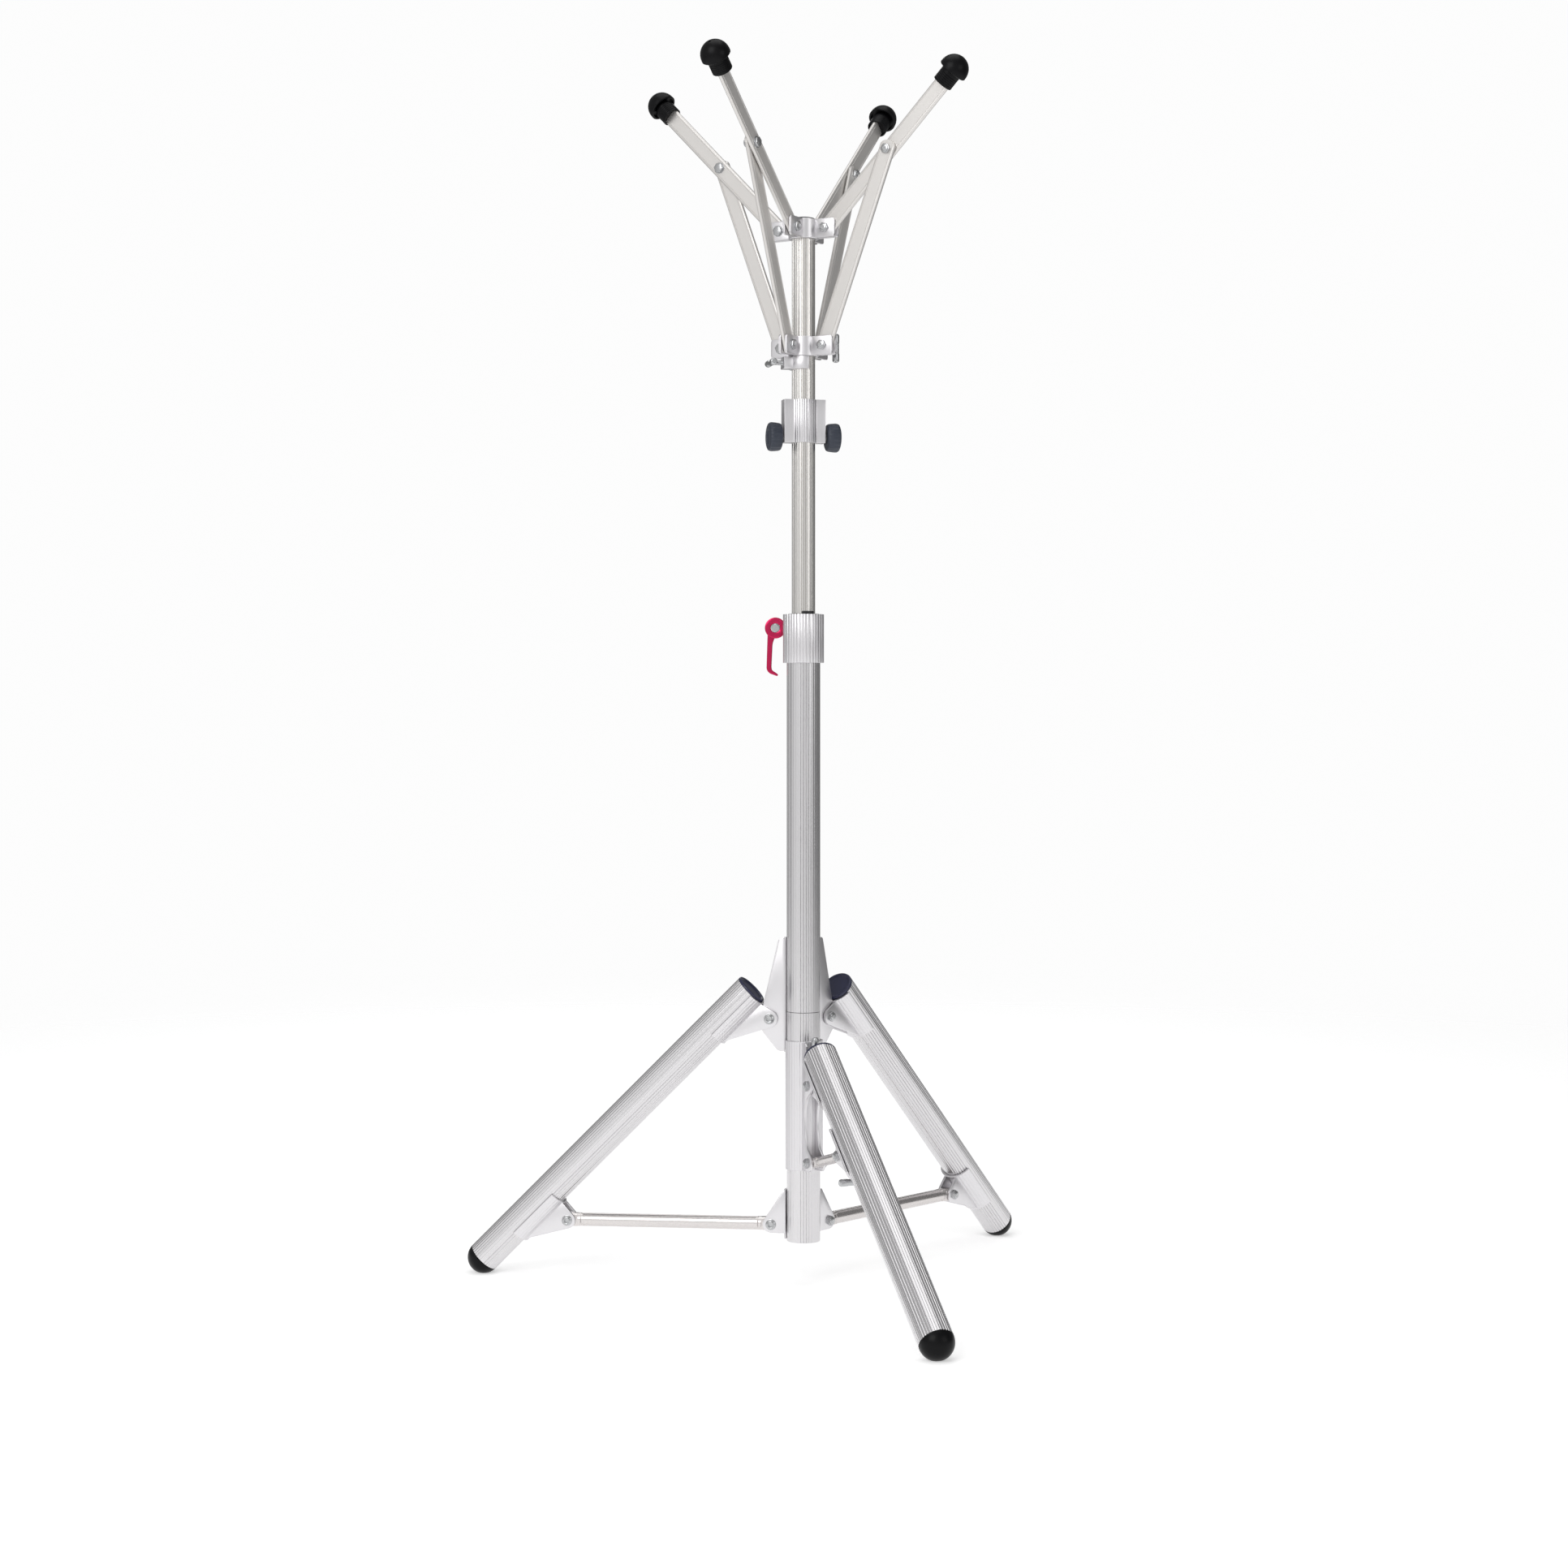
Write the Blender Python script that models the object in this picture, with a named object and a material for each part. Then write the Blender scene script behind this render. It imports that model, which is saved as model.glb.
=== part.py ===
"""Folding bike repair stand: tripod, two-stage column and a four-arm cradle head.

Units are metres and +Z is up. The origin is the centre of the column's bottom
face, and the floor is FLOOR_Z below it. Azimuths are measured about the column
from +X towards +Y, and the front leg points towards -Y.
"""

import math

import bmesh
import bpy
from mathutils import Matrix, Vector

MM = 0.001

# Overall layout
FLOOR_Z = -52 * MM
FRONT_AZIMUTH = math.radians(-90)
LEFT_AZIMUTH = math.radians(150)
RIGHT_AZIMUTH = math.radians(30)
ARM_AZIMUTH = math.radians(-51)
ARM_COUNT = 4
GAP = 0.3 * MM

# Tubes
MAIN_RADIUS = 20 * MM
MAIN_WALL = 2.5 * MM
MAST_RADIUS = 14 * MM
MAST_WALL = 2 * MM
BASE_TUBE_LENGTH = 273.7 * MM
MAIN_TUBE_LENGTH = 471 * MM
MAST_EXPOSED = 201 * MM
MAST_INSERTED = 258 * MM
HEAD_TUBE_EXPOSED = 215 * MM

# Height clamp at the top of the main tube
CLAMP_HEIGHT = 58 * MM
CLAMP_WALL = 4.2 * MM
CLAMP_OVERHANG = 3.4 * MM
CLAMP_AZIMUTH = math.radians(70)
JAW_WIDTH = 36 * MM
JAW_SHIFT = -2 * MM
JAW_DEPTH = 17 * MM
JAW_HEIGHT = 24 * MM
JAW_DROP = 15.5 * MM
SLIT_WIDTH = 3 * MM
BUSHING_DEPTH = 45 * MM
BUSHING_FLANGE = 6.8 * MM
CAM_RADIUS = 12.7 * MM
CAM_WIDTH = 12 * MM
CAM_PIN_RADIUS = 5.2 * MM
CAM_SLOT = 6 * MM
SKEWER_RADIUS = 2.5 * MM
SKEWER_NUT_RADIUS = 6.5 * MM
SKEWER_NUT_LENGTH = 6 * MM
LEVER_LENGTH = 52 * MM
LEVER_THICKNESS = 6.2 * MM
LEVER_OFFSET = 7.6 * MM
LEVER_HOOK = 13 * MM

# Coupling between the mast and the head tube
COUPLING_HEIGHT = 51.7 * MM
COUPLING_WALL = 1.8 * MM
COUPLING_LENGTH = 50.6 * MM
COUPLING_WIDTH = 17.2 * MM
COUPLING_AZIMUTH = math.radians(-7)
KNOB_RADIUS = 17.4 * MM
KNOB_THICKNESS = 15.5 * MM
KNOB_STANDOFF = 2.6 * MM
KNOB_DROP = 7 * MM
KNOB_STUD_RADIUS = 2.9 * MM

# Cradle head
COLLAR_WALL = 3.8 * MM
HUB_HEIGHT = 23.2 * MM
EAR_THICKNESS = 3 * MM
EAR_REACH = 43.6 * MM
ARM_PIVOT_RADIUS = 30.3 * MM
ARM_SPREAD = math.radians(45.2)
ARM_WIDTH = 21 * MM
ARM_THICKNESS = 5 * MM
ARM_SPACING = ARM_THICKNESS + 2 * GAP
ARM_LENGTH = 234 * MM
ARM_LINK_POINT = 120.2 * MM
LINK_LENGTH = 240.6 * MM
TIP_SOCKET_RADIUS = 12.2 * MM
TIP_SOCKET_LENGTH = 18 * MM
TIP_GRIP = 15.2 * MM
TIP_DOME_RADIUS = 17.6 * MM
TIP_DOME_HEIGHT = 18 * MM
TIP_NECK_RADIUS = 9.5 * MM
TIP_NECK_LENGTH = 3.0 * MM
TIP_RIM = 3.2 * MM
STOP_HEIGHT = 15.2 * MM
STOP_WALL = 3.4 * MM
STOP_HALF_ANGLE = math.radians(98)
STOP_AZIMUTH = math.radians(174)
STOP_BLOCK_REACH = 26 * MM
STOP_BLOCK_WIDTH = 18 * MM
SLIDER_SCREW_AZIMUTH = math.radians(-6)
HEAD_CAP_RISE = 3 * MM

# Screws with a cross bar
BAR_RADIUS = 4.2 * MM
BAR_LENGTH = 34 * MM
SCREW_RADIUS = 3 * MM
SLIDER_SCREW_REACH = 40 * MM
STOP_SCREW_REACH = 40 * MM
SLEEVE_SCREW_REACH = MAIN_RADIUS + 20 * MM
SLEEVE_SCREW_DROP = 10 * MM
BRACE_SCREW_REACH = MAIN_RADIUS + 26 * MM
LEG_CLAMP_SCREW_REACH = MAIN_RADIUS + 22 * MM

# Pivot bolts
PIN_RADIUS = 3 * MM
PIN_CLEARANCE = 0.25 * MM
BOLT_HEAD_RADIUS = 6.2 * MM
BOLT_HEAD_HEIGHT = 3.6 * MM
NUT_RADIUS = 6.2 * MM
NUT_HEIGHT = 5 * MM

# Brackets: a shell that hugs a tube, with plates that carry a pivot
SHELL_WALL = 3 * MM
PLATE_THICKNESS = 3 * MM
FORK_GAP = 13 * MM
TONGUE_WIDTH = FORK_GAP - 2 * GAP
LUG_RADIUS = 10 * MM
LEG_SHELL_HALF_ANGLE = math.radians(75)
COLUMN_SHELL_MARGIN = math.radians(14)
SLEEVE_HALF_ANGLE = math.radians(92)

# Rear legs and their braces
LEG_SLOPE = math.radians(45)
LEG_PIVOT_OFFSET = MAIN_RADIUS + 20.5 * MM
LEG_PIVOT_RADIUS = MAIN_RADIUS + 20 * MM
LEG_PIVOT_HEIGHT = 265 * MM
LEG_ABOVE_PIVOT = 6 * MM
BRACE_POINT = 352 * MM
BRACE_PIVOT_RADIUS = MAIN_RADIUS + 18 * MM
BRACE_PIVOT_HEIGHT = 19.3 * MM
BRACE_TUBE_RADIUS = 8 * MM
BRACE_TONGUE = 16.5 * MM
LEG_BRACKET_LENGTH = 68 * MM
LEG_BRACKET_MARGIN = 12 * MM
WING_HEIGHT = 137 * MM
WING_BOTTOM = 225.5 * MM
BRACE_BRACKET_HEIGHT = 59 * MM
BRACE_BRACKET_BOTTOM = 2 * MM

# Front leg, its sleeve on the column and its short link
FRONT_SLOPE = math.radians(37)
FRONT_PIVOT_RADIUS = MAIN_RADIUS + 20 * MM
FRONT_PIVOT_HEIGHT = 190 * MM
FRONT_ABOVE_PIVOT = 8 * MM
FRONT_CLAMP_POINT = 119 * MM
FRONT_CLAMP_OFFSET = MAIN_RADIUS + 15 * MM
FRONT_CLAMP_SCREW_DROP = 35 * MM
FRONT_LINK_RADIUS = MAIN_RADIUS + 20 * MM
FRONT_LINK_HEIGHT = 98.7 * MM
FRONT_LINK_TUBE_RADIUS = 6.1 * MM
SLEEVE_BOTTOM = 86.6 * MM
SLEEVE_HEIGHT = 153.4 * MM
SLEEVE_LUG_REACH = MAIN_RADIUS + 14 * MM
SLEEVE_WAIST_REACH = MAIN_RADIUS + 7 * MM

# Rubber feet and plastic plugs
FOOT_FLAT = 1.27 * MM
PLUG_DEPTH = 12 * MM
CAP_RIM = 3 * MM

# Derived heights
MAIN_TUBE_TOP = BASE_TUBE_LENGTH + 2 * GAP + MAIN_TUBE_LENGTH
CLAMP_TOP = MAIN_TUBE_TOP + CLAMP_OVERHANG
BUSHING_TOP = MAIN_TUBE_TOP + GAP + BUSHING_FLANGE
COUPLING_BOTTOM = BUSHING_TOP + MAST_EXPOSED
COUPLING_TOP = COUPLING_BOTTOM + COUPLING_HEIGHT
TUBE_JOINT = COUPLING_BOTTOM + COUPLING_HEIGHT / 2
HUB_CENTRE = COUPLING_TOP + HEAD_TUBE_EXPOSED - HUB_HEIGHT / 2
LINK_ANGLE = math.asin(ARM_LINK_POINT * math.sin(ARM_SPREAD) / LINK_LENGTH)
SLIDER_CENTRE = (
    HUB_CENTRE
    + ARM_LINK_POINT * math.cos(ARM_SPREAD)
    - LINK_LENGTH * math.cos(LINK_ANGLE)
)
BORE_RADIUS = MAST_RADIUS + GAP
SHELL_RADIUS = MAIN_RADIUS + GAP
PLUG_RADIUS = MAIN_RADIUS - MAIN_WALL - GAP
FOOT_CENTRE = FLOOR_Z + MAIN_RADIUS - FOOT_FLAT


# ---------------------------------------------------------------- helpers


def length_below(pivot_height, slope):
    """Distance along a leg from its upper pivot to the centre of its foot."""
    drop = pivot_height + LEG_PIVOT_OFFSET * math.cos(slope) - FOOT_CENTRE
    return drop / math.sin(slope)


def clear_scene():
    for obj in list(bpy.data.objects):
        bpy.data.objects.remove(obj, do_unlink=True)


def material(name, colour, roughness, metallic):
    """A Principled material with one colour."""
    made = bpy.data.materials.new(name)
    made.use_nodes = True
    shader = made.node_tree.nodes["Principled BSDF"]
    shader.inputs["Base Color"].default_value = (*colour, 1)
    shader.inputs["Roughness"].default_value = roughness
    shader.inputs["Metallic"].default_value = metallic
    return made


def add_object(name, mesh_data, look=None, smooth=False):
    """Turn a bmesh into a scene object."""
    mesh_data.normal_update()
    bmesh.ops.recalc_face_normals(mesh_data, faces=mesh_data.faces)
    mesh = bpy.data.meshes.new(name)
    mesh_data.to_mesh(mesh)
    mesh_data.free()
    obj = bpy.data.objects.new(name, mesh)
    bpy.context.scene.collection.objects.link(obj)
    if look:
        mesh.materials.append(look)
    if smooth:
        mesh.shade_smooth()
        mesh.set_sharp_from_angle(angle=math.radians(35))
    return obj


def add_empty(name, matrix):
    """A joint frame that the moving pieces hang from."""
    frame = bpy.data.objects.new(name, None)
    frame.empty_display_size = 0.03
    frame.matrix_world = matrix
    bpy.context.scene.collection.objects.link(frame)
    return frame


def hang(obj, parent):
    """Parent an object that is modelled in its parent's own frame."""
    obj.parent = parent
    obj.matrix_parent_inverse = Matrix.Identity(4)
    return obj


def frame_at(azimuth, radius, height, tilt=0.0):
    """A frame on the radial plane at an azimuth: X outwards, Y tangential, Z tilted outwards."""
    turn = Matrix.Rotation(azimuth, 4, "Z")
    shift = Matrix.Translation((radius, 0, height))
    return turn @ shift @ Matrix.Rotation(tilt, 4, "Y")


def arc(radius, start, end, steps):
    """Points on a circle about the origin, both ends included."""
    turns = [start + (end - start) * i / steps for i in range(steps + 1)]
    return [(radius * math.cos(a), radius * math.sin(a)) for a in turns]


def circle(centre, radius, steps):
    return [
        (centre[0] + x, centre[1] + y)
        for x, y in arc(radius, 0, 2 * math.pi * (steps - 1) / steps, steps - 1)
    ]


def hull(points):
    """Convex outline of flat points, anticlockwise."""
    ordered = sorted(set(points))

    def chain(run):
        kept = []
        for p in run:
            while len(kept) > 1 and cross(kept[-2], kept[-1], p) <= 1e-12:
                kept.pop()
            kept.append(p)
        return kept[:-1]

    return chain(ordered) + chain(reversed(ordered))


def cross(a, b, c):
    return (b[0] - a[0]) * (c[1] - a[1]) - (b[1] - a[1]) * (c[0] - a[0])


def prism_into(mesh_data, outline, low, high, matrix=Matrix.Identity(4)):
    """Extrude a flat outline from low to high along Z, then move it by the matrix."""
    corners = [mesh_data.verts.new(matrix @ Vector((x, y, low))) for x, y in outline]
    face = mesh_data.faces.new(corners)
    lift = matrix.to_3x3() @ Vector((0, 0, high - low))
    grown = bmesh.ops.extrude_face_region(mesh_data, geom=[face])
    moved = [g for g in grown["geom"] if isinstance(g, bmesh.types.BMVert)]
    bmesh.ops.translate(mesh_data, vec=lift, verts=moved)


def prism(outline, low, high, matrix=Matrix.Identity(4)):
    mesh_data = bmesh.new()
    prism_into(mesh_data, outline, low, high, matrix)
    return mesh_data


def lathe(profile, steps=24, matrix=Matrix.Identity(4)):
    """Spin a closed (radius, z) outline about Z. Points on the axis become poles."""
    mesh_data = bmesh.new()
    verts = [mesh_data.verts.new((r, 0, z)) for r, z in profile]
    edges = [
        mesh_data.edges.new((a, b))
        for a, b in zip(verts, verts[1:] + verts[:1])
        if a.co.x > 1e-7 or b.co.x > 1e-7
    ]
    bmesh.ops.spin(
        mesh_data,
        geom=verts + edges,
        cent=(0, 0, 0),
        axis=(0, 0, 1),
        angle=2 * math.pi,
        steps=steps,
    )
    bmesh.ops.remove_doubles(mesh_data, verts=mesh_data.verts, dist=1e-6)
    mesh_data.transform(matrix)
    return mesh_data


def pipe(outer, inner, low, high, steps=32):
    return lathe([(inner, low), (outer, low), (outer, high), (inner, high)], steps)


def helper(name, mesh_data, parent=None):
    """A cutter or a piece to be joined: never rendered itself."""
    obj = add_object(name, mesh_data)
    obj.hide_render = True
    obj.display_type = "WIRE"
    if parent:
        hang(obj, parent)
    return obj


def combine(obj, other, operation):
    """Put a Boolean modifier on the object."""
    modifier = obj.modifiers.new(other.name, "BOOLEAN")
    modifier.operation = operation
    modifier.solver = "EXACT"
    modifier.object = other
    return obj


# ------------------------------------------------------- shared shapes


def standing(matrix):
    """From an outline drawn in (x, z) to a plate that is thick along Y."""
    return matrix @ Matrix.Rotation(math.radians(90), 4, "X")


def plates(outline, spans, matrix=Matrix.Identity(4)):
    """One upright plate for each (low, high) span along Y, in one mesh."""
    mesh_data = bmesh.new()
    for low, high in spans:
        prism_into(mesh_data, outline, -high, -low, standing(matrix))
    return mesh_data


def buried(wall_inner, wall_outer, span):
    """How far out a plate starts so that its root lies inside a round wall."""
    middle = (wall_inner + wall_outer) / 2
    offset = sum(span) / 2
    return math.sqrt(middle**2 - offset**2)


def fork_spans(gap):
    return [(gap / 2, gap / 2 + PLATE_THICKNESS), (-gap / 2 - PLATE_THICKNESS, -gap / 2)]


def bolt_into(mesh_data, matrix, low, high, shank_low, shank_high):
    """Pivot bolt along Y: the nut outside low, the head outside high, and a shank between."""
    turned = standing(matrix)
    hexagon = circle((0, 0), NUT_RADIUS, 6)
    round_head = circle((0, 0), BOLT_HEAD_RADIUS, 12)
    shank = circle((0, 0), PIN_RADIUS, 12)
    overlap = EAR_THICKNESS / 3
    if shank_high > shank_low:
        prism_into(mesh_data, shank, -shank_high, -shank_low, turned)
    if high is not None:
        prism_into(mesh_data, round_head, -high - BOLT_HEAD_HEIGHT, -high + overlap, turned)
    if low is not None:
        prism_into(mesh_data, hexagon, -low - overlap, -low + NUT_HEIGHT, turned)


def bolt_through(matrix, low, high):
    """A whole bolt: one solid of shank, head and nut."""
    turned = standing(matrix)
    rings = [
        (0, low - NUT_HEIGHT),
        (NUT_RADIUS, low - NUT_HEIGHT),
        (NUT_RADIUS, low + EAR_THICKNESS / 3),
        (PIN_RADIUS, low + EAR_THICKNESS / 3),
        (PIN_RADIUS, high - EAR_THICKNESS / 3),
        (BOLT_HEAD_RADIUS, high - EAR_THICKNESS / 3),
        (BOLT_HEAD_RADIUS, high + BOLT_HEAD_HEIGHT),
        (0, high + BOLT_HEAD_HEIGHT),
    ]
    flip = Matrix.Rotation(math.pi, 4, "X")
    return lathe(rings, 12, turned @ flip)


def merged(parts):
    """Put several bmeshes that don't touch into one."""
    whole = bmesh.new()
    for part in parts:
        scratch = bpy.data.meshes.new("scratch")
        part.to_mesh(scratch)
        part.free()
        whole.from_mesh(scratch)
        bpy.data.meshes.remove(scratch)
    return whole


def cross_bar_screw(name, parent, start, reach, bar_turn, look):
    """A clamping screw along X with a tommy bar through its head."""
    shaft = lathe(
        [(0, start), (SCREW_RADIUS, start), (SCREW_RADIUS, reach), (0, reach)],
        12,
        Matrix.Rotation(math.radians(90), 4, "Y"),
    )
    screw = add_object(name, shaft, look, smooth=True)
    round_end = BAR_RADIUS * 0.35
    half = BAR_LENGTH / 2
    bar = lathe(
        [
            (0, -half),
            (BAR_RADIUS - round_end, -half),
            (BAR_RADIUS, -half + round_end),
            (BAR_RADIUS, half - round_end),
            (BAR_RADIUS - round_end, half),
            (0, half),
        ],
        16,
        Matrix.Translation((reach, 0, 0)) @ Matrix.Rotation(bar_turn, 4, "X"),
    )
    hang(screw, parent)
    return combine(screw, helper(name + "_bar", bar, parent), "UNION")


def screw_hole(name, obj, matrix, low, high, parent=None):
    """Drill a clearance hole for a cross-bar screw, along the matrix's X axis."""
    hole = lathe(
        [
            (0, low),
            (SCREW_RADIUS + GAP, low),
            (SCREW_RADIUS + GAP, high),
            (0, high),
        ],
        12,
        matrix @ Matrix.Rotation(math.radians(90), 4, "Y"),
    )
    return combine(obj, helper(name, hole, parent), "DIFFERENCE")


# ------------------------------------------------------------- column


def shell_outline(inner, outer, start, end, steps):
    return arc(outer, start, end, steps) + arc(inner, end, start, steps)


def build_column(looks):
    """The fixed tubes with the plug, the height clamp and its bushing."""
    inner = MAIN_RADIUS - MAIN_WALL
    base = pipe(MAIN_RADIUS, inner, 0, BASE_TUBE_LENGTH)
    add_object("base_tube", base, looks["tube"], smooth=True)
    low = BASE_TUBE_LENGTH + 2 * GAP
    main = pipe(MAIN_RADIUS, inner, low, MAIN_TUBE_TOP)
    add_object("main_tube", main, looks["tube"], smooth=True)
    plug = [(0, 0), (PLUG_RADIUS, 0), (PLUG_RADIUS, PLUG_DEPTH), (0, PLUG_DEPTH)]
    add_object("base_plug", lathe(plug, 32), looks["plastic"], smooth=True)
    bore = BORE_RADIUS
    bushing = [
        (bore, MAIN_TUBE_TOP - BUSHING_DEPTH),
        (inner - GAP, MAIN_TUBE_TOP - BUSHING_DEPTH),
        (inner - GAP, MAIN_TUBE_TOP + GAP),
        (MAIN_RADIUS - 2 * GAP, MAIN_TUBE_TOP + GAP),
        (MAIN_RADIUS - 2 * GAP, BUSHING_TOP - 1 * MM),
        (MAIN_RADIUS - 1 * MM, BUSHING_TOP),
        (bore, BUSHING_TOP),
    ]
    add_object("clamp_bushing", lathe(bushing, 32), looks["plastic"], smooth=True)


def build_height_clamp(looks):
    """Split collar with rear jaws, and the cam lever on its skewer."""
    inner = SHELL_RADIUS
    outer = inner + CLAMP_WALL
    low = CLAMP_TOP - CLAMP_HEIGHT
    frame = add_empty("clamp_frame", frame_at(CLAMP_AZIMUTH, 0, 0))
    solid = lathe([(0, low), (outer, low), (outer, CLAMP_TOP), (0, CLAMP_TOP)], 32)
    collar = hang(add_object("clamp_collar", solid, looks["clamp"], True), frame)
    jaw_z = CLAMP_TOP - JAW_DROP
    jaw_low, jaw_high = jaw_z - JAW_HEIGHT / 2, jaw_z + JAW_HEIGHT / 2
    side = JAW_WIDTH / 2
    jaw = [
        (0, -side - JAW_SHIFT),
        (outer + JAW_DEPTH - CLAMP_WALL, -side - JAW_SHIFT),
        (outer + JAW_DEPTH - CLAMP_WALL, side - JAW_SHIFT),
        (0, side - JAW_SHIFT),
    ]
    combine(collar, helper("clamp_jaws", prism(jaw, jaw_low, jaw_high), frame), "UNION")
    bore = lathe([(0, low - MM), (inner, low - MM), (inner, CLAMP_TOP + MM), (0, CLAMP_TOP + MM)], 32)
    combine(collar, helper("clamp_bore", bore, frame), "DIFFERENCE")
    reach = outer + JAW_DEPTH
    slit = [(0, -SLIT_WIDTH / 2), (reach, -SLIT_WIDTH / 2), (reach, SLIT_WIDTH / 2), (0, SLIT_WIDTH / 2)]
    combine(collar, helper("clamp_slit", prism(slit, low - MM, CLAMP_TOP + MM), frame), "DIFFERENCE")

    skewer_x = outer + (JAW_DEPTH - CLAMP_WALL) * 0.55
    near_side = side - JAW_SHIFT
    far_side = -side - JAW_SHIFT
    hole = circle((0, 0), SKEWER_RADIUS + GAP, 12)
    across = Matrix.Translation((skewer_x, 0, jaw_z)) @ Matrix.Rotation(math.radians(-90), 4, "X")
    combine(
        collar,
        helper("skewer_hole", prism(hole, -near_side - MM, near_side + MM, across), frame),
        "DIFFERENCE",
    )
    cam_y = near_side + CAM_RADIUS + 1 * MM
    rod = prism(
        circle((0, 0), SKEWER_RADIUS, 12),
        far_side - SKEWER_NUT_LENGTH - 2 * MM,
        cam_y,
        across,
    )
    skewer = hang(add_object("clamp_skewer", rod, looks["steel"], True), frame)
    nut = prism(
        circle((0, 0), SKEWER_NUT_RADIUS, 12),
        far_side - GAP - SKEWER_NUT_LENGTH,
        far_side - GAP,
        across,
    )
    combine(skewer, helper("skewer_nut", nut, frame), "UNION")
    pin_place = Matrix.Translation((skewer_x, cam_y, jaw_z)) @ Matrix.Rotation(math.radians(90), 4, "Y")
    pin = prism(circle((0, 0), CAM_PIN_RADIUS, 16), -CAM_WIDTH / 2 - MM, CAM_WIDTH / 2 + MM, pin_place)
    combine(skewer, helper("skewer_pin", pin, frame), "UNION")
    build_lever(looks, frame, (skewer_x, cam_y, jaw_z))


def build_lever(looks, frame, place):
    """Cam lever: a ring on the pin and a hooked handle that hangs down. Its axis is X."""
    pivot = add_empty("lever_pivot", Matrix.Translation(place))
    hang(pivot, frame)
    facing = Matrix.Rotation(math.radians(90), 4, "Z") @ Matrix.Rotation(math.radians(90), 4, "X")
    half = CAM_WIDTH / 2
    ring = prism(circle((0, 0), CAM_RADIUS, 24), -half, half, facing)
    lever = add_object("clamp_lever", ring, looks["lever"], True)
    hang(lever, pivot)
    outside = LEVER_OFFSET + LEVER_THICKNESS / 2
    inside = LEVER_OFFSET - LEVER_THICKNESS / 2
    handle = [
        (outside - 1.6 * MM, 0),
        (outside - 1.2 * MM, -CAM_RADIUS),
        (outside, -LEVER_LENGTH + 3 * MM),
        (outside - 1 * MM, -LEVER_LENGTH),
        (outside - 4 * MM, -LEVER_LENGTH - 3 * MM),
        (outside - LEVER_HOOK, -LEVER_LENGTH - 6.4 * MM),
        (outside - LEVER_HOOK - 1.2 * MM, -LEVER_LENGTH - 4.6 * MM),
        (outside - LEVER_HOOK + 1 * MM, -LEVER_LENGTH - 2.6 * MM),
        (inside - 0.6 * MM, -LEVER_LENGTH + 1 * MM),
        (inside, -LEVER_LENGTH + 5 * MM),
        (inside - 1.4 * MM, -CAM_RADIUS - 6 * MM),
        (inside - 4.2 * MM, -CAM_RADIUS + 1 * MM),
        (-7 * MM, -8 * MM),
        (-3 * MM, 0),
    ]
    grip = prism(handle, -half + GAP, half - GAP, facing)
    combine(lever, helper("lever_handle", grip, pivot), "UNION")
    hole = prism(circle((0, 0), CAM_PIN_RADIUS + GAP, 16), -2 * half, 2 * half, facing)
    combine(lever, helper("lever_hole", hole, pivot), "DIFFERENCE")
    reach = 1.5 * CAM_RADIUS
    fan = [(0, 0)] + arc(reach, math.radians(-38), math.radians(200), 12)
    slot = prism([(-x, z) for x, z in fan], -CAM_SLOT / 2, CAM_SLOT / 2, facing)
    combine(lever, helper("lever_slot", slot, pivot), "DIFFERENCE")


def build_mast(looks):
    """Sliding inner tube, the coupling on top of it, and the coupling's two knobs."""
    low = CLAMP_TOP - MAST_INSERTED
    tube = pipe(MAST_RADIUS, MAST_RADIUS - MAST_WALL, low, TUBE_JOINT - GAP)
    add_object("mast_tube", tube, looks["mast"], smooth=True)

    frame = add_empty("coupling_frame", frame_at(COUPLING_AZIMUTH, 0, 0))
    outer = BORE_RADIUS + COUPLING_WALL
    body = lathe(
        [(0, COUPLING_BOTTOM), (outer, COUPLING_BOTTOM), (outer, COUPLING_TOP), (0, COUPLING_TOP)],
        32,
    )
    coupling = hang(add_object("mast_coupling", body, looks["clamp"], True), frame)
    half_l, half_w = COUPLING_LENGTH / 2, COUPLING_WIDTH / 2
    block = [(-half_l, -half_w), (half_l, -half_w), (half_l, half_w), (-half_l, half_w)]
    inset = 1 * MM
    bar = prism(block, COUPLING_BOTTOM + inset, COUPLING_TOP - inset)
    combine(coupling, helper("coupling_block", bar, frame), "UNION")
    low, high = COUPLING_BOTTOM - MM, COUPLING_TOP + MM
    bore = lathe([(0, low), (BORE_RADIUS, low), (BORE_RADIUS, high), (0, high)], 32)
    combine(coupling, helper("coupling_bore", bore, frame), "DIFFERENCE")
    stud_z = COUPLING_BOTTOM + KNOB_DROP
    drill = prism(
        circle((0, 0), KNOB_STUD_RADIUS + GAP, 12),
        -half_l - MM,
        half_l + MM,
        Matrix.Translation((0, 0, stud_z)) @ Matrix.Rotation(math.radians(90), 4, "Y"),
    )
    combine(coupling, helper("coupling_drill", drill, frame), "DIFFERENCE")

    face = half_l + KNOB_STANDOFF
    edge = 2 * MM
    knob = [
        (0, BORE_RADIUS + GAP),
        (KNOB_STUD_RADIUS, BORE_RADIUS + GAP),
        (KNOB_STUD_RADIUS, face),
        (KNOB_RADIUS - edge, face),
        (KNOB_RADIUS, face + edge),
        (KNOB_RADIUS, face + KNOB_THICKNESS - edge),
        (KNOB_RADIUS - edge, face + KNOB_THICKNESS),
        (0, face + KNOB_THICKNESS),
    ]
    for name, turn in (("knob_right", 0), ("knob_left", math.pi)):
        place = frame_at(COUPLING_AZIMUTH + turn, 0, stud_z, math.radians(90))
        pivot = add_empty(name + "_axis", place)
        hang(add_object(name, lathe(knob, 24), looks["knob"], True), pivot)


# --------------------------------------------------------------- head


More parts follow.
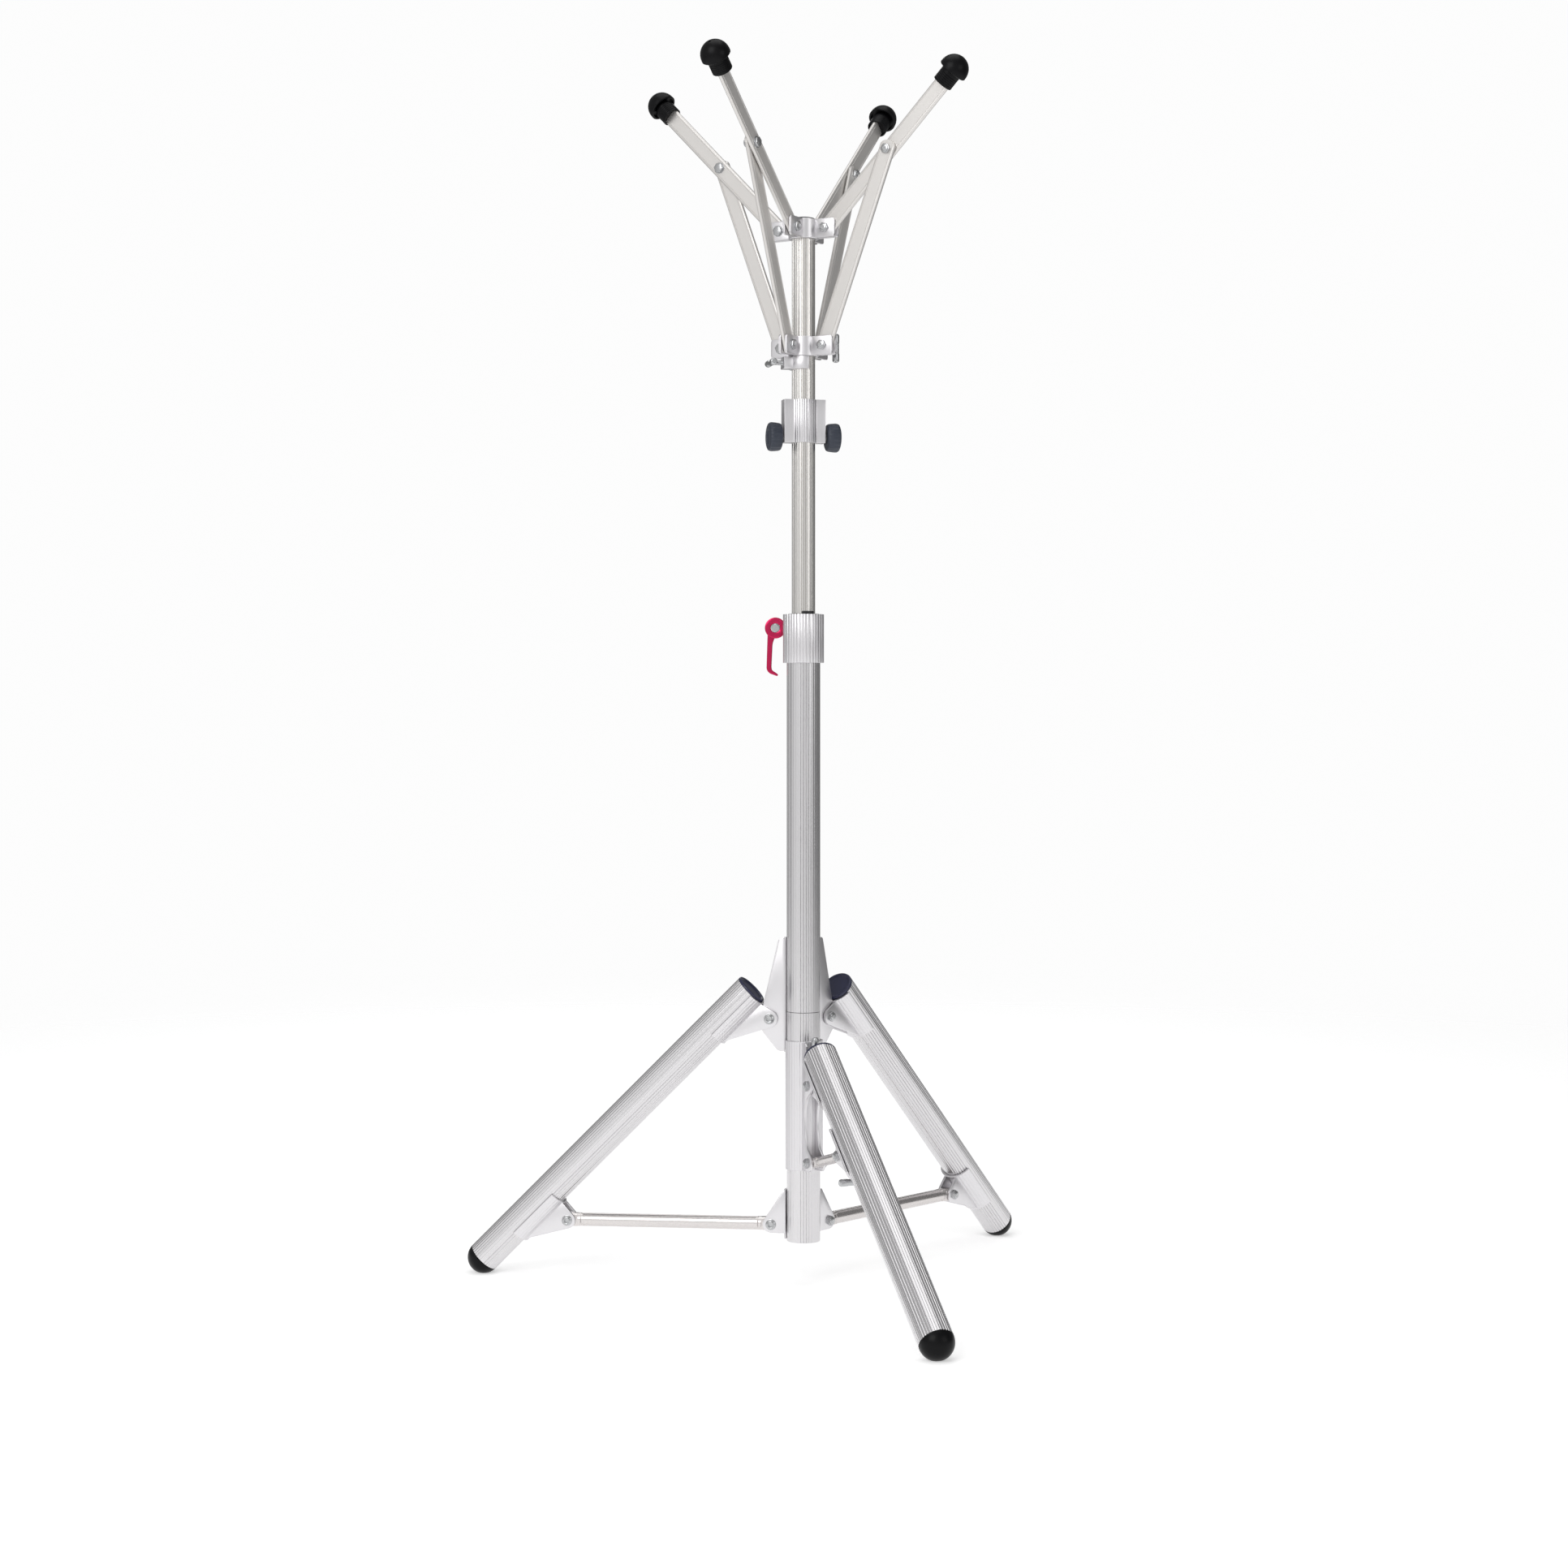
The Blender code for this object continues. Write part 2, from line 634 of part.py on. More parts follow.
def ear_set(slot_low, height, centre):
    """Ear plates of all four arms. The slot runs from slot_low to slot_low + ARM_SPACING."""
    spans = [
        (slot_low - EAR_THICKNESS, slot_low),
        (slot_low + ARM_SPACING, slot_low + ARM_SPACING + EAR_THICKNESS),
    ]
    wall = (BORE_RADIUS, BORE_RADIUS + COLLAR_WALL)
    inset = GAP
    low, high = centre - height / 2 + inset, centre + height / 2 - inset
    corner = 2.5 * MM
    parts = []
    for i in range(ARM_COUNT):
        turn = Matrix.Rotation(ARM_AZIMUTH + i * 2 * math.pi / ARM_COUNT, 4, "Z")
        for span in spans:
            root = buried(*wall, span)
            outline = [
                (root, low),
                (EAR_REACH - corner, low),
                (EAR_REACH, low + corner),
                (EAR_REACH, high - corner),
                (EAR_REACH - corner, high),
                (root, high),
            ]
            parts.append(plates(outline, [span], turn))
    return merged(parts)


def bolt_set(slot_low, centre):
    """The pivot bolts of all four arms."""
    low = slot_low - EAR_THICKNESS
    high = slot_low + ARM_SPACING + EAR_THICKNESS
    parts = []
    for i in range(ARM_COUNT):
        azimuth = ARM_AZIMUTH + i * 2 * math.pi / ARM_COUNT
        parts.append(bolt_through(frame_at(azimuth, ARM_PIVOT_RADIUS, centre), low, high))
    return merged(parts)


def build_collar(name, slot_low, centre, look):
    """A ring on the head tube with forked ears and pivot bolts for the four arms."""
    outer = BORE_RADIUS + COLLAR_WALL
    ring = pipe(outer, BORE_RADIUS, centre - HUB_HEIGHT / 2, centre + HUB_HEIGHT / 2)
    collar = add_object(name, ring, look, smooth=True)
    ears = helper(name + "_ears", ear_set(slot_low, HUB_HEIGHT, centre))
    combine(collar, ears, "UNION")
    return combine(collar, helper(name + "_bolts", bolt_set(slot_low, centre)), "UNION")


def build_head_tube(looks):
    top = HUB_CENTRE + HUB_HEIGHT / 2
    tube = pipe(MAST_RADIUS, MAST_RADIUS - MAST_WALL, TUBE_JOINT + GAP, top)
    add_object("head_tube", tube, looks["mast"], smooth=True)
    stem = MAST_RADIUS - MAST_WALL - GAP
    base = top + GAP
    cap = [
        (0, top - PLUG_DEPTH),
        (stem, top - PLUG_DEPTH),
        (stem, base),
        (MAST_RADIUS, base),
        (MAST_RADIUS, base + HEAD_CAP_RISE * 0.4),
        (MAST_RADIUS * 0.75, base + HEAD_CAP_RISE * 0.85),
        (0, base + HEAD_CAP_RISE),
    ]
    add_object("head_cap", lathe(cap), looks["plastic"], smooth=True)


def bar_outline(length, radius, top_round):
    """Side view of a flat bar with its pivot at the origin, along +Z."""
    half = ARM_WIDTH / 2
    foot = arc(radius, math.pi, 2 * math.pi, 12)
    if top_round:
        head = [(x, length + z) for x, z in arc(radius, 0, math.pi, 12)]
    else:
        head = [(half, length), (-half, length)]
    return foot + head


def pivot_hole(name, obj, parent):
    """Running clearance around a pivot bolt's shank, along Y through the origin."""
    hole = circle((0, 0), PIN_RADIUS + PIN_CLEARANCE, 12)
    drill = prism(hole, -3 * ARM_SPACING, 3 * ARM_SPACING, standing(Matrix.Identity(4)))
    return combine(obj, helper(name, drill, parent), "DIFFERENCE")


def build_arms(looks):
    """Arms on the hub, links on the slider. They stand side by side and share a bolt."""
    half_gap = (ARM_SPACING - ARM_THICKNESS) / 2
    for i in range(ARM_COUNT):
        azimuth = ARM_AZIMUTH + i * 2 * math.pi / ARM_COUNT
        label = str(i + 1)
        place = frame_at(azimuth, ARM_PIVOT_RADIUS, HUB_CENTRE, ARM_SPREAD)
        pivot = add_empty("arm_axis_" + label, place)
        outline = bar_outline(ARM_LENGTH, ARM_WIDTH / 2, False)
        arm_span = (half_gap, half_gap + ARM_THICKNESS)
        arm = add_object("arm_" + label, plates(outline, [arm_span]), looks["arm"])
        hang(arm, pivot)
        pivot_hole("arm_hole_" + label, arm, pivot)
        head = bmesh.new()
        bolt_into(head, Matrix.Translation((0, 0, ARM_LINK_POINT)), None, arm_span[1], 0, 0)
        combine(arm, helper("arm_bolt_" + label, head, pivot), "UNION")
        build_tip(looks, "arm_tip_" + label, pivot, sum(arm_span) / 2)

        place = frame_at(azimuth, ARM_PIVOT_RADIUS, SLIDER_CENTRE, LINK_ANGLE)
        pivot = add_empty("link_axis_" + label, place)
        outline = bar_outline(LINK_LENGTH, ARM_WIDTH / 2, True)
        link_span = (-half_gap - ARM_THICKNESS, -half_gap)
        link = add_object("link_" + label, plates(outline, [link_span]), looks["arm"])
        hang(link, pivot)
        pivot_hole("link_hole_" + label, link, pivot)
        nut = bmesh.new()
        bolt_into(nut, Matrix.Translation((0, 0, LINK_LENGTH)), link_span[0], None, 0, 0)
        combine(link, helper("link_nut_" + label, nut, pivot), "UNION")


def build_tip(looks, name, pivot, side):
    """Rubber end: a domed cap over a socket that the arm's end sits in."""
    low = ARM_LENGTH - TIP_GRIP
    neck = low + TIP_SOCKET_LENGTH
    rim = neck + TIP_NECK_LENGTH - TIP_RIM
    dome_low = neck + TIP_NECK_LENGTH
    dome = [
        (TIP_DOME_RADIUS * math.cos(a), dome_low + TIP_DOME_HEIGHT * math.sin(a))
        for a in [math.radians(d) for d in (0, 22, 45, 67)]
    ]
    profile = [
        (0, low),
        (TIP_SOCKET_RADIUS, low),
        (TIP_SOCKET_RADIUS, neck - 1 * MM),
        (TIP_NECK_RADIUS, neck),
        (TIP_NECK_RADIUS, dome_low),
        (TIP_DOME_RADIUS - TIP_RIM, dome_low),
        (TIP_DOME_RADIUS - TIP_RIM / 2, rim),
        *dome,
        (0, dome_low + TIP_DOME_HEIGHT),
    ]
    shift = Matrix.Translation((0, side, 0))
    tip = hang(add_object(name, lathe(profile, 20, shift), looks["rubber"], True), pivot)
    half_w, half_t = ARM_WIDTH / 2 + GAP, ARM_THICKNESS / 2 + GAP
    socket = [(-half_w, -half_t), (half_w, -half_t), (half_w, half_t), (-half_w, half_t)]
    cutter = prism(socket, low - MM, ARM_LENGTH + GAP, shift)
    combine(tip, helper(name + "_socket", cutter, pivot), "DIFFERENCE")


def build_cradle_collars(looks):
    """Fixed hub, sliding collar with its screw, and the stop collar below it."""
    build_collar("arm_hub", 0, HUB_CENTRE, looks["clamp"])
    slider = build_collar("arm_slider", -ARM_SPACING, SLIDER_CENTRE, looks["clamp"])
    place = frame_at(SLIDER_SCREW_AZIMUTH, 0, SLIDER_CENTRE)
    screw_hole("slider_drill", slider, place, 0, EAR_REACH)
    axis = add_empty("slider_screw_axis", place)
    start = BORE_RADIUS + GAP
    cross_bar_screw("slider_screw", axis, start, SLIDER_SCREW_REACH, 0, looks["steel"])

    high = SLIDER_CENTRE - HUB_HEIGHT / 2 - GAP
    low = high - STOP_HEIGHT
    outer = BORE_RADIUS + STOP_WALL
    outline = shell_outline(BORE_RADIUS, outer, -STOP_HALF_ANGLE, STOP_HALF_ANGLE, 20)
    place = frame_at(STOP_AZIMUTH, 0, 0)
    frame = add_empty("stop_frame", place)
    stop = hang(add_object("slider_stop", prism(outline, low, high), looks["clamp"], True), frame)
    half = STOP_BLOCK_WIDTH / 2
    middle = (BORE_RADIUS + outer) / 2
    spread = math.asin(half / middle)
    block = [*arc(middle, spread, -spread, 8), (STOP_BLOCK_REACH, -half), (STOP_BLOCK_REACH, half)]
    inset = 0.4 * MM
    combine(stop, helper("stop_block", prism(block, low + inset, high - inset), frame), "UNION")
    middle = (low + high) / 2
    level = Matrix.Translation((0, 0, middle))
    screw_hole("stop_drill", stop, level, 0, 2 * STOP_BLOCK_REACH, frame)
    axis = add_empty("stop_screw_axis", place @ level)
    cross_bar_screw("stop_screw", axis, start, STOP_SCREW_REACH, math.radians(90), looks["steel"])


# ------------------------------------------------------------- tripod


def lug_hull(base, centre, radius=LUG_RADIUS):
    """Outline of a plate from a straight base to a round lug."""
    return hull([*base, *circle(centre, radius, 16)])


def leg_bracket(name, parent, axis_x, low, high, lug_z, lug_x, look, tongue=False, bolt="pin"):
    """Shell on the inner side of a leg, with a fork (or a tongue) that reaches to a pivot."""
    inner, outer = SHELL_RADIUS, SHELL_RADIUS + SHELL_WALL
    start = math.pi - LEG_SHELL_HALF_ANGLE
    end = math.pi + LEG_SHELL_HALF_ANGLE
    outline = shell_outline(inner, outer, start, end, 14)
    shift = Matrix.Translation((axis_x, 0, 0))
    bracket = add_object(name, prism(outline, low, high, shift), look, True)
    hang(bracket, parent)
    half = TONGUE_WIDTH / 2
    spans = [(-half, half)] if tongue else fork_spans(FORK_GAP)
    inset = 1 * MM
    root = axis_x - (outer - 0.4 * MM if tongue else buried(inner, outer, spans[0]))
    base = [(root, low + inset), (root, high - inset)]
    ears = plates(lug_hull(base, (lug_x, lug_z)), spans)
    combine(bracket, helper(name + "_ears", ears, parent), "UNION")
    place = Matrix.Translation((lug_x, 0, lug_z))
    reach = FORK_GAP / 2 + PLATE_THICKNESS
    if tongue:
        hole = prism(circle((0, 0), PIN_RADIUS + PIN_CLEARANCE, 12), -reach, reach, standing(place))
        combine(bracket, helper(name + "_hole", hole, parent), "DIFFERENCE")
    elif bolt == "pin":
        pin = bolt_through(place, -reach, reach)
        combine(bracket, helper(name + "_bolt", pin, parent), "UNION")
    else:
        ends = bmesh.new()
        bolt_into(ends, place, -reach, reach, 0, 0)
        combine(bracket, helper(name + "_bolt", ends, parent), "UNION")
    return bracket


def leg_pieces(side, parent, axis_x, low, high, looks):
    """Leg tube from low to high, its rubber foot and its top cap."""
    inner = MAIN_RADIUS - MAIN_WALL
    shift = Matrix.Translation((axis_x, 0, 0))
    tube = pipe(MAIN_RADIUS, inner, low + GAP, high)
    tube.transform(shift)
    hang(add_object(side + "_leg", tube, looks["tube"], True), parent)
    dome = [
        (MAIN_RADIUS * math.sin(a), low - MAIN_RADIUS * math.cos(a))
        for a in [math.radians(d) for d in (0, 15, 30, 45, 60, 75, 90)]
    ]
    foot = [*dome, (PLUG_RADIUS, low), (PLUG_RADIUS, low + PLUG_DEPTH), (0, low + PLUG_DEPTH)]
    foot_obj = add_object(side + "_foot", lathe(foot, 24, shift), looks["rubber"], True)
    hang(foot_obj, parent)
    combine(foot_obj, bpy.data.objects["floor_cutter"], "DIFFERENCE")
    seat = high + GAP
    recess = MAIN_RADIUS * 0.72
    cap = [
        (0, seat - PLUG_DEPTH),
        (PLUG_RADIUS, seat - PLUG_DEPTH),
        (PLUG_RADIUS, seat),
        (MAIN_RADIUS, seat),
        (MAIN_RADIUS, seat + CAP_RIM * 0.7),
        (MAIN_RADIUS - 1.2 * MM, seat + CAP_RIM),
        (recess + 1 * MM, seat + CAP_RIM),
        (recess, seat + CAP_RIM * 0.5),
        (0, seat + CAP_RIM * 0.5),
    ]
    hang(add_object(side + "_leg_cap", lathe(cap, 24, shift), looks["cap"], True), parent)


def brace(name, parent, length, look, tube=BRACE_TUBE_RADIUS):
    """Round strut along +Z with a flattened, rounded tongue at each end."""
    rod = lathe(
        [
            (0, BRACE_TONGUE),
            (tube, BRACE_TONGUE),
            (tube, length - BRACE_TONGUE),
            (0, length - BRACE_TONGUE),
        ],
        16,
    )
    strut = hang(add_object(name, rod, look, True), parent)
    half = TONGUE_WIDTH / 2
    grip = 3 * MM
    radius = tube - 0.2 * MM
    ends = []
    for centre, sign in ((0, 1), (length, -1)):
        root = centre + sign * (BRACE_TONGUE + grip)
        flat = sign * 5 * MM
        outline = hull(
            [(-radius * 0.75, root), (radius * 0.75, root), (-radius, centre), (radius, centre)]
            + circle((0, centre), radius, 16)
            + [(-radius, centre + flat), (radius, centre + flat)]
        )
        ends.append(plates(outline, [(-half, half)]))
    combine(strut, helper(name + "_tongues", merged(ends), parent), "UNION")
    return strut


def strut_hole(name, strut, parent, z):
    """Running clearance for a pivot bolt through a strut's tongue."""
    hole = circle((0, 0), PIN_RADIUS + PIN_CLEARANCE, 12)
    place = standing(Matrix.Translation((0, 0, z)))
    cutter = prism(hole, -BRACE_TUBE_RADIUS, BRACE_TUBE_RADIUS, place)
    combine(strut, helper(name, cutter, parent), "DIFFERENCE")


def build_rear_leg(side, azimuth, looks):
    """One rear leg on its brace. The leg's joint axis is the brace's outer pivot."""
    slope = LEG_SLOPE
    along = Vector((-math.cos(slope), 0, math.sin(slope)))
    top = Vector((LEG_PIVOT_RADIUS, 0, LEG_PIVOT_HEIGHT))
    outer = top - along * BRACE_POINT
    tilt = slope - math.pi / 2
    pivot = add_empty(side + "_leg_axis", frame_at(azimuth, outer.x, outer.z, tilt))
    axis_x = LEG_PIVOT_OFFSET
    low = BRACE_POINT - length_below(LEG_PIVOT_HEIGHT, slope)
    high = BRACE_POINT + LEG_ABOVE_PIVOT
    leg_pieces(side, pivot, axis_x, low, high, looks)
    leg_bracket(
        side + "_upper_bracket",
        pivot,
        axis_x,
        high - LEG_BRACKET_LENGTH,
        high,
        BRACE_POINT,
        0,
        looks["clamp"],
        bolt="ends",
    )
    leg_bracket(
        side + "_lower_bracket",
        pivot,
        axis_x,
        LEG_BRACKET_MARGIN - LEG_BRACKET_LENGTH,
        LEG_BRACKET_MARGIN,
        0,
        0,
        looks["clamp"],
    )
    inner = Vector((BRACE_PIVOT_RADIUS, 0, BRACE_PIVOT_HEIGHT))
    span = outer - inner
    lean = math.atan2(span.x, span.z)
    foot = add_empty(side + "_brace_axis", frame_at(azimuth, inner.x, inner.z, lean))
    strut = brace(side + "_brace", foot, span.length, looks["strut"])
    strut_hole(side + "_brace_hole_in", strut, foot, 0)
    strut_hole(side + "_brace_hole_out", strut, foot, span.length)


def column_bracket(name, low, high, ear_outline, spans, look):
    """Shell round the back of the column with a pair of plates towards each rear leg."""
    inner, outer = SHELL_RADIUS, SHELL_RADIUS + SHELL_WALL
    start = RIGHT_AZIMUTH - COLUMN_SHELL_MARGIN
    end = LEFT_AZIMUTH + COLUMN_SHELL_MARGIN
    outline = shell_outline(inner, outer, start, end, 24)
    bracket = add_object(name, prism(outline, low, high), look, True)
    parts = []
    for azimuth in (RIGHT_AZIMUTH, LEFT_AZIMUTH):
        for span in spans:
            root = buried(inner, outer, span)
            turn = Matrix.Rotation(azimuth, 4, "Z")
            parts.append(plates(ear_outline(root), [span], turn))
    combine(bracket, helper(name + "_ears", merged(parts)), "UNION")
    return bracket


def wing_outline(root):
    """Tall plate whose widest part holds the leg pivot."""
    low, high = WING_BOTTOM + 1 * MM, WING_BOTTOM + WING_HEIGHT - 1 * MM
    shoulder = LEG_PIVOT_RADIUS + LUG_RADIUS
    return [
        (root, low),
        (LEG_PIVOT_RADIUS - 10 * MM, low),
        (shoulder, LEG_PIVOT_HEIGHT - 14 * MM),
        (shoulder, LEG_PIVOT_HEIGHT + 8 * MM),
        (LEG_PIVOT_RADIUS - 11 * MM, high),
        (root, high),
    ]


def brace_ear_outline(root):
    low = BRACE_PIVOT_HEIGHT - LUG_RADIUS
    high = BRACE_BRACKET_BOTTOM + BRACE_BRACKET_HEIGHT - 1 * MM
    base = [(root, low), (root, high), (root + 3 * MM, high)]
    return lug_hull(base, (BRACE_PIVOT_RADIUS, BRACE_PIVOT_HEIGHT))


def build_column_brackets(looks):
    half = TONGUE_WIDTH / 2
    wing_spans = [(half - PLATE_THICKNESS, half), (-half, PLATE_THICKNESS - half)]
    column_bracket(
        "wing_bracket",
        WING_BOTTOM,
        WING_BOTTOM + WING_HEIGHT,
        wing_outline,
        wing_spans,
        looks["clamp"],
    )
    low = BRACE_BRACKET_BOTTOM
    high = low + BRACE_BRACKET_HEIGHT
    lower = column_bracket(
        "brace_bracket",
        low,
        high,
        brace_ear_outline,
        fork_spans(FORK_GAP),
        looks["clamp"],
    )
    reach = FORK_GAP / 2 + PLATE_THICKNESS
    bolts = []
    for azimuth in (RIGHT_AZIMUTH, LEFT_AZIMUTH):
        place = frame_at(azimuth, BRACE_PIVOT_RADIUS, BRACE_PIVOT_HEIGHT)
        bolts.append(bolt_through(place, -reach, reach))
    combine(lower, helper("brace_bracket_bolts", merged(bolts)), "UNION")
    middle = (RIGHT_AZIMUTH + LEFT_AZIMUTH) / 2
    place = frame_at(middle, 0, (low + high) / 2)
    screw_hole("brace_drill", lower, place, 0, 2 * MAIN_RADIUS)
    axis = add_empty("brace_screw_axis", place)
    start = SHELL_RADIUS + GAP
    cross_bar_screw("brace_screw", axis, start, BRACE_SCREW_REACH, math.radians(90), looks["steel"])


def sleeve_ear_outline(root):
    """Plate of the front sleeve: a lug above, a lug below and a hollow between them."""
    low, high = SLEEVE_BOTTOM + 0.6 * MM, SLEEVE_BOTTOM + SLEEVE_HEIGHT - 1 * MM
    upper = (FRONT_PIVOT_RADIUS, FRONT_PIVOT_HEIGHT)
    lower = (FRONT_LINK_RADIUS, FRONT_LINK_HEIGHT)
    quarter = math.pi / 2
    bottom = [(lower[0] + x, lower[1] + z) for x, z in arc(LUG_RADIUS, -quarter, quarter * 0.6, 8)]
    top = [(upper[0] + x, upper[1] + z) for x, z in arc(LUG_RADIUS, -quarter * 0.6, quarter * 0.7, 8)]
    rise = upper[1] - lower[1]
    hollow = [
        (
            lower[0] + (SLEEVE_WAIST_REACH - lower[0]) * math.sin(math.pi * t) ** 0.7,
            lower[1] + LUG_RADIUS + (rise - 2 * LUG_RADIUS) * t,
        )
        for t in (0.12, 0.25, 0.4, 0.5, 0.6, 0.75, 0.88)
    ]
    neck = (SLEEVE_LUG_REACH, FRONT_PIVOT_HEIGHT + 18 * MM)
    return [(root, low), *bottom, *hollow, *top, neck, (SLEEVE_LUG_REACH, high), (root, high)]


def build_front_sleeve(looks):
    """Sleeve on the front of the column that carries the whole front leg."""
    inner, outer = SHELL_RADIUS, SHELL_RADIUS + SHELL_WALL
    low, high = SLEEVE_BOTTOM, SLEEVE_BOTTOM + SLEEVE_HEIGHT
    frame = add_empty("sleeve_frame", frame_at(FRONT_AZIMUTH, 0, 0))
    outline = shell_outline(inner, outer, -SLEEVE_HALF_ANGLE, SLEEVE_HALF_ANGLE, 24)
    sleeve = add_object("front_sleeve", prism(outline, low, high), looks["clamp"], True)
    hang(sleeve, frame)
    spans = fork_spans(FORK_GAP)
    root = buried(inner, outer, spans[0])
    ears = plates(sleeve_ear_outline(root), spans)
    combine(sleeve, helper("front_sleeve_ears", ears, frame), "UNION")
    reach = FORK_GAP / 2 + PLATE_THICKNESS
    bolts = [
        bolt_through(Matrix.Translation((x, 0, z)), -reach, reach)
        for x, z in (
            (FRONT_PIVOT_RADIUS, FRONT_PIVOT_HEIGHT),
            (FRONT_LINK_RADIUS, FRONT_LINK_HEIGHT),
        )
    ]
    combine(sleeve, helper("front_sleeve_bolts", merged(bolts), frame), "UNION")
    level = Matrix.Translation((0, 0, high - SLEEVE_SCREW_DROP))
    screw_hole("sleeve_drill", sleeve, level, 0, 2 * MAIN_RADIUS, frame)
    axis = add_empty("sleeve_screw_axis", frame_at(FRONT_AZIMUTH, 0, 0) @ level)
    cross_bar_screw("sleeve_screw", axis, inner + GAP, SLEEVE_SCREW_REACH, 0, looks["steel"])


def build_front_leg(looks):
    """Front leg on the sleeve, the clamp that slides along it and the short link."""
    slope = FRONT_SLOPE
    along = Vector((-math.cos(slope), 0, math.sin(slope)))
    outward = Vector((math.sin(slope), 0, math.cos(slope)))
    tilt = slope - math.pi / 2
    pivot_place = frame_at(FRONT_AZIMUTH, FRONT_PIVOT_RADIUS, FRONT_PIVOT_HEIGHT, tilt)
    pivot = add_empty("front_leg_axis", pivot_place)
    axis_x = LEG_PIVOT_OFFSET
    high = FRONT_ABOVE_PIVOT
    low = -length_below(FRONT_PIVOT_HEIGHT, slope)
    leg_pieces("front", pivot, axis_x, low, high, looks)
    leg_bracket(
        "front_upper_bracket",
        pivot,
        axis_x,
        high - LEG_BRACKET_LENGTH,
        high - GAP,
        0,
        0,
        looks["clamp"],
        tongue=True,
    )
    clamp_x = axis_x - FRONT_CLAMP_OFFSET
    clamp_place = pivot_place @ Matrix.Translation((clamp_x, 0, -FRONT_CLAMP_POINT))
    clamp = add_empty("front_clamp_axis", clamp_place)
    bracket = leg_bracket(
        "front_clamp",
        clamp,
        FRONT_CLAMP_OFFSET,
        LEG_BRACKET_MARGIN + 4 * MM - LEG_BRACKET_LENGTH,
        LEG_BRACKET_MARGIN + 4 * MM,
        0,
        0,
        looks["clamp"],
        bolt="ends",
    )
    inward = Matrix.Translation((FRONT_CLAMP_OFFSET, 0, -FRONT_CLAMP_SCREW_DROP))
    inward = inward @ Matrix.Rotation(math.pi, 4, "Z")
    screw_hole("front_clamp_drill", bracket, inward, 0, 2 * MAIN_RADIUS, clamp)
    screw_axis = add_empty("front_clamp_screw_axis", clamp_place @ inward)
    start = SHELL_RADIUS + GAP
    quarter = math.radians(90)
    cross_bar_screw("front_clamp_screw", screw_axis, start, LEG_CLAMP_SCREW_REACH, quarter, looks["steel"])

    upper = Vector((FRONT_PIVOT_RADIUS, 0, FRONT_PIVOT_HEIGHT))
    outer = upper - along * FRONT_CLAMP_POINT + outward * clamp_x
    inner = Vector((FRONT_LINK_RADIUS, 0, FRONT_LINK_HEIGHT))
    span = outer - inner
    lean = math.atan2(span.x, span.z)
    foot = add_empty("front_link_axis", frame_at(FRONT_AZIMUTH, inner.x, inner.z, lean))
    strut = brace("front_link", foot, span.length, looks["strut"], FRONT_LINK_TUBE_RADIUS)
    strut_hole("front_link_hole", strut, foot, 0)


def build_floor_cutter():
    """Flattens each rubber foot where it stands."""
    half = 1.0
    square = [(-half, -half), (half, -half), (half, half), (-half, half)]
    helper("floor_cutter", prism(square, FLOOR_Z - 0.1, FLOOR_Z))


def build_looks():
    return {
        "tube": material("fluted_aluminium", (0.66, 0.65, 0.65), 0.30, 1.0),
        "mast": material("fluted_aluminium_inner", (0.70, 0.69, 0.67), 0.28, 1.0),
        "clamp": material("satin_aluminium", (0.68, 0.67, 0.68), 0.34, 1.0),
        "arm": material("arm_aluminium", (0.72, 0.70, 0.67), 0.36, 1.0),
        "strut": material("strut_aluminium", (0.60, 0.58, 0.56), 0.32, 1.0),
        "steel": material("zinc_steel", (0.62, 0.61, 0.60), 0.25, 1.0),
        "rubber": material("black_rubber", (0.012, 0.012, 0.016), 0.55, 0.0),
        "plastic": material("black_plastic", (0.010, 0.010, 0.012), 0.45, 0.0),
        "cap": material("navy_plastic", (0.012, 0.014, 0.045), 0.42, 0.0),
        "knob": material("slate_plastic", (0.014, 0.018, 0.030), 0.50, 0.0),
        "lever": material("red_anodised", (0.50, 0.02, 0.09), 0.28, 1.0),
    }


def main():
    clear_scene()
    looks = build_looks()
    build_floor_cutter()
    build_column(looks)
    build_height_clamp(looks)
    build_mast(looks)
    build_head_tube(looks)
    build_cradle_collars(looks)
    build_arms(looks)
    build_column_brackets(looks)
    build_rear_leg("left", LEFT_AZIMUTH, looks)
    build_rear_leg("right", RIGHT_AZIMUTH, looks)
    build_front_sleeve(looks)
    build_front_leg(looks)


main()
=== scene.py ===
"""Looks of the folding bike repair stand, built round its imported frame.

Every sub-assembly is a class that holds its sizes in metres, builds its own
meshes and hands them to the frame. Azimuths are measured from +X towards +Y.
"""

from __future__ import annotations

import logging
import math
from dataclasses import dataclass, field
from enum import Enum
from typing import Any, Callable, Iterable, Sequence, Union

import bmesh
import bpy
from mathutils import Matrix, Vector

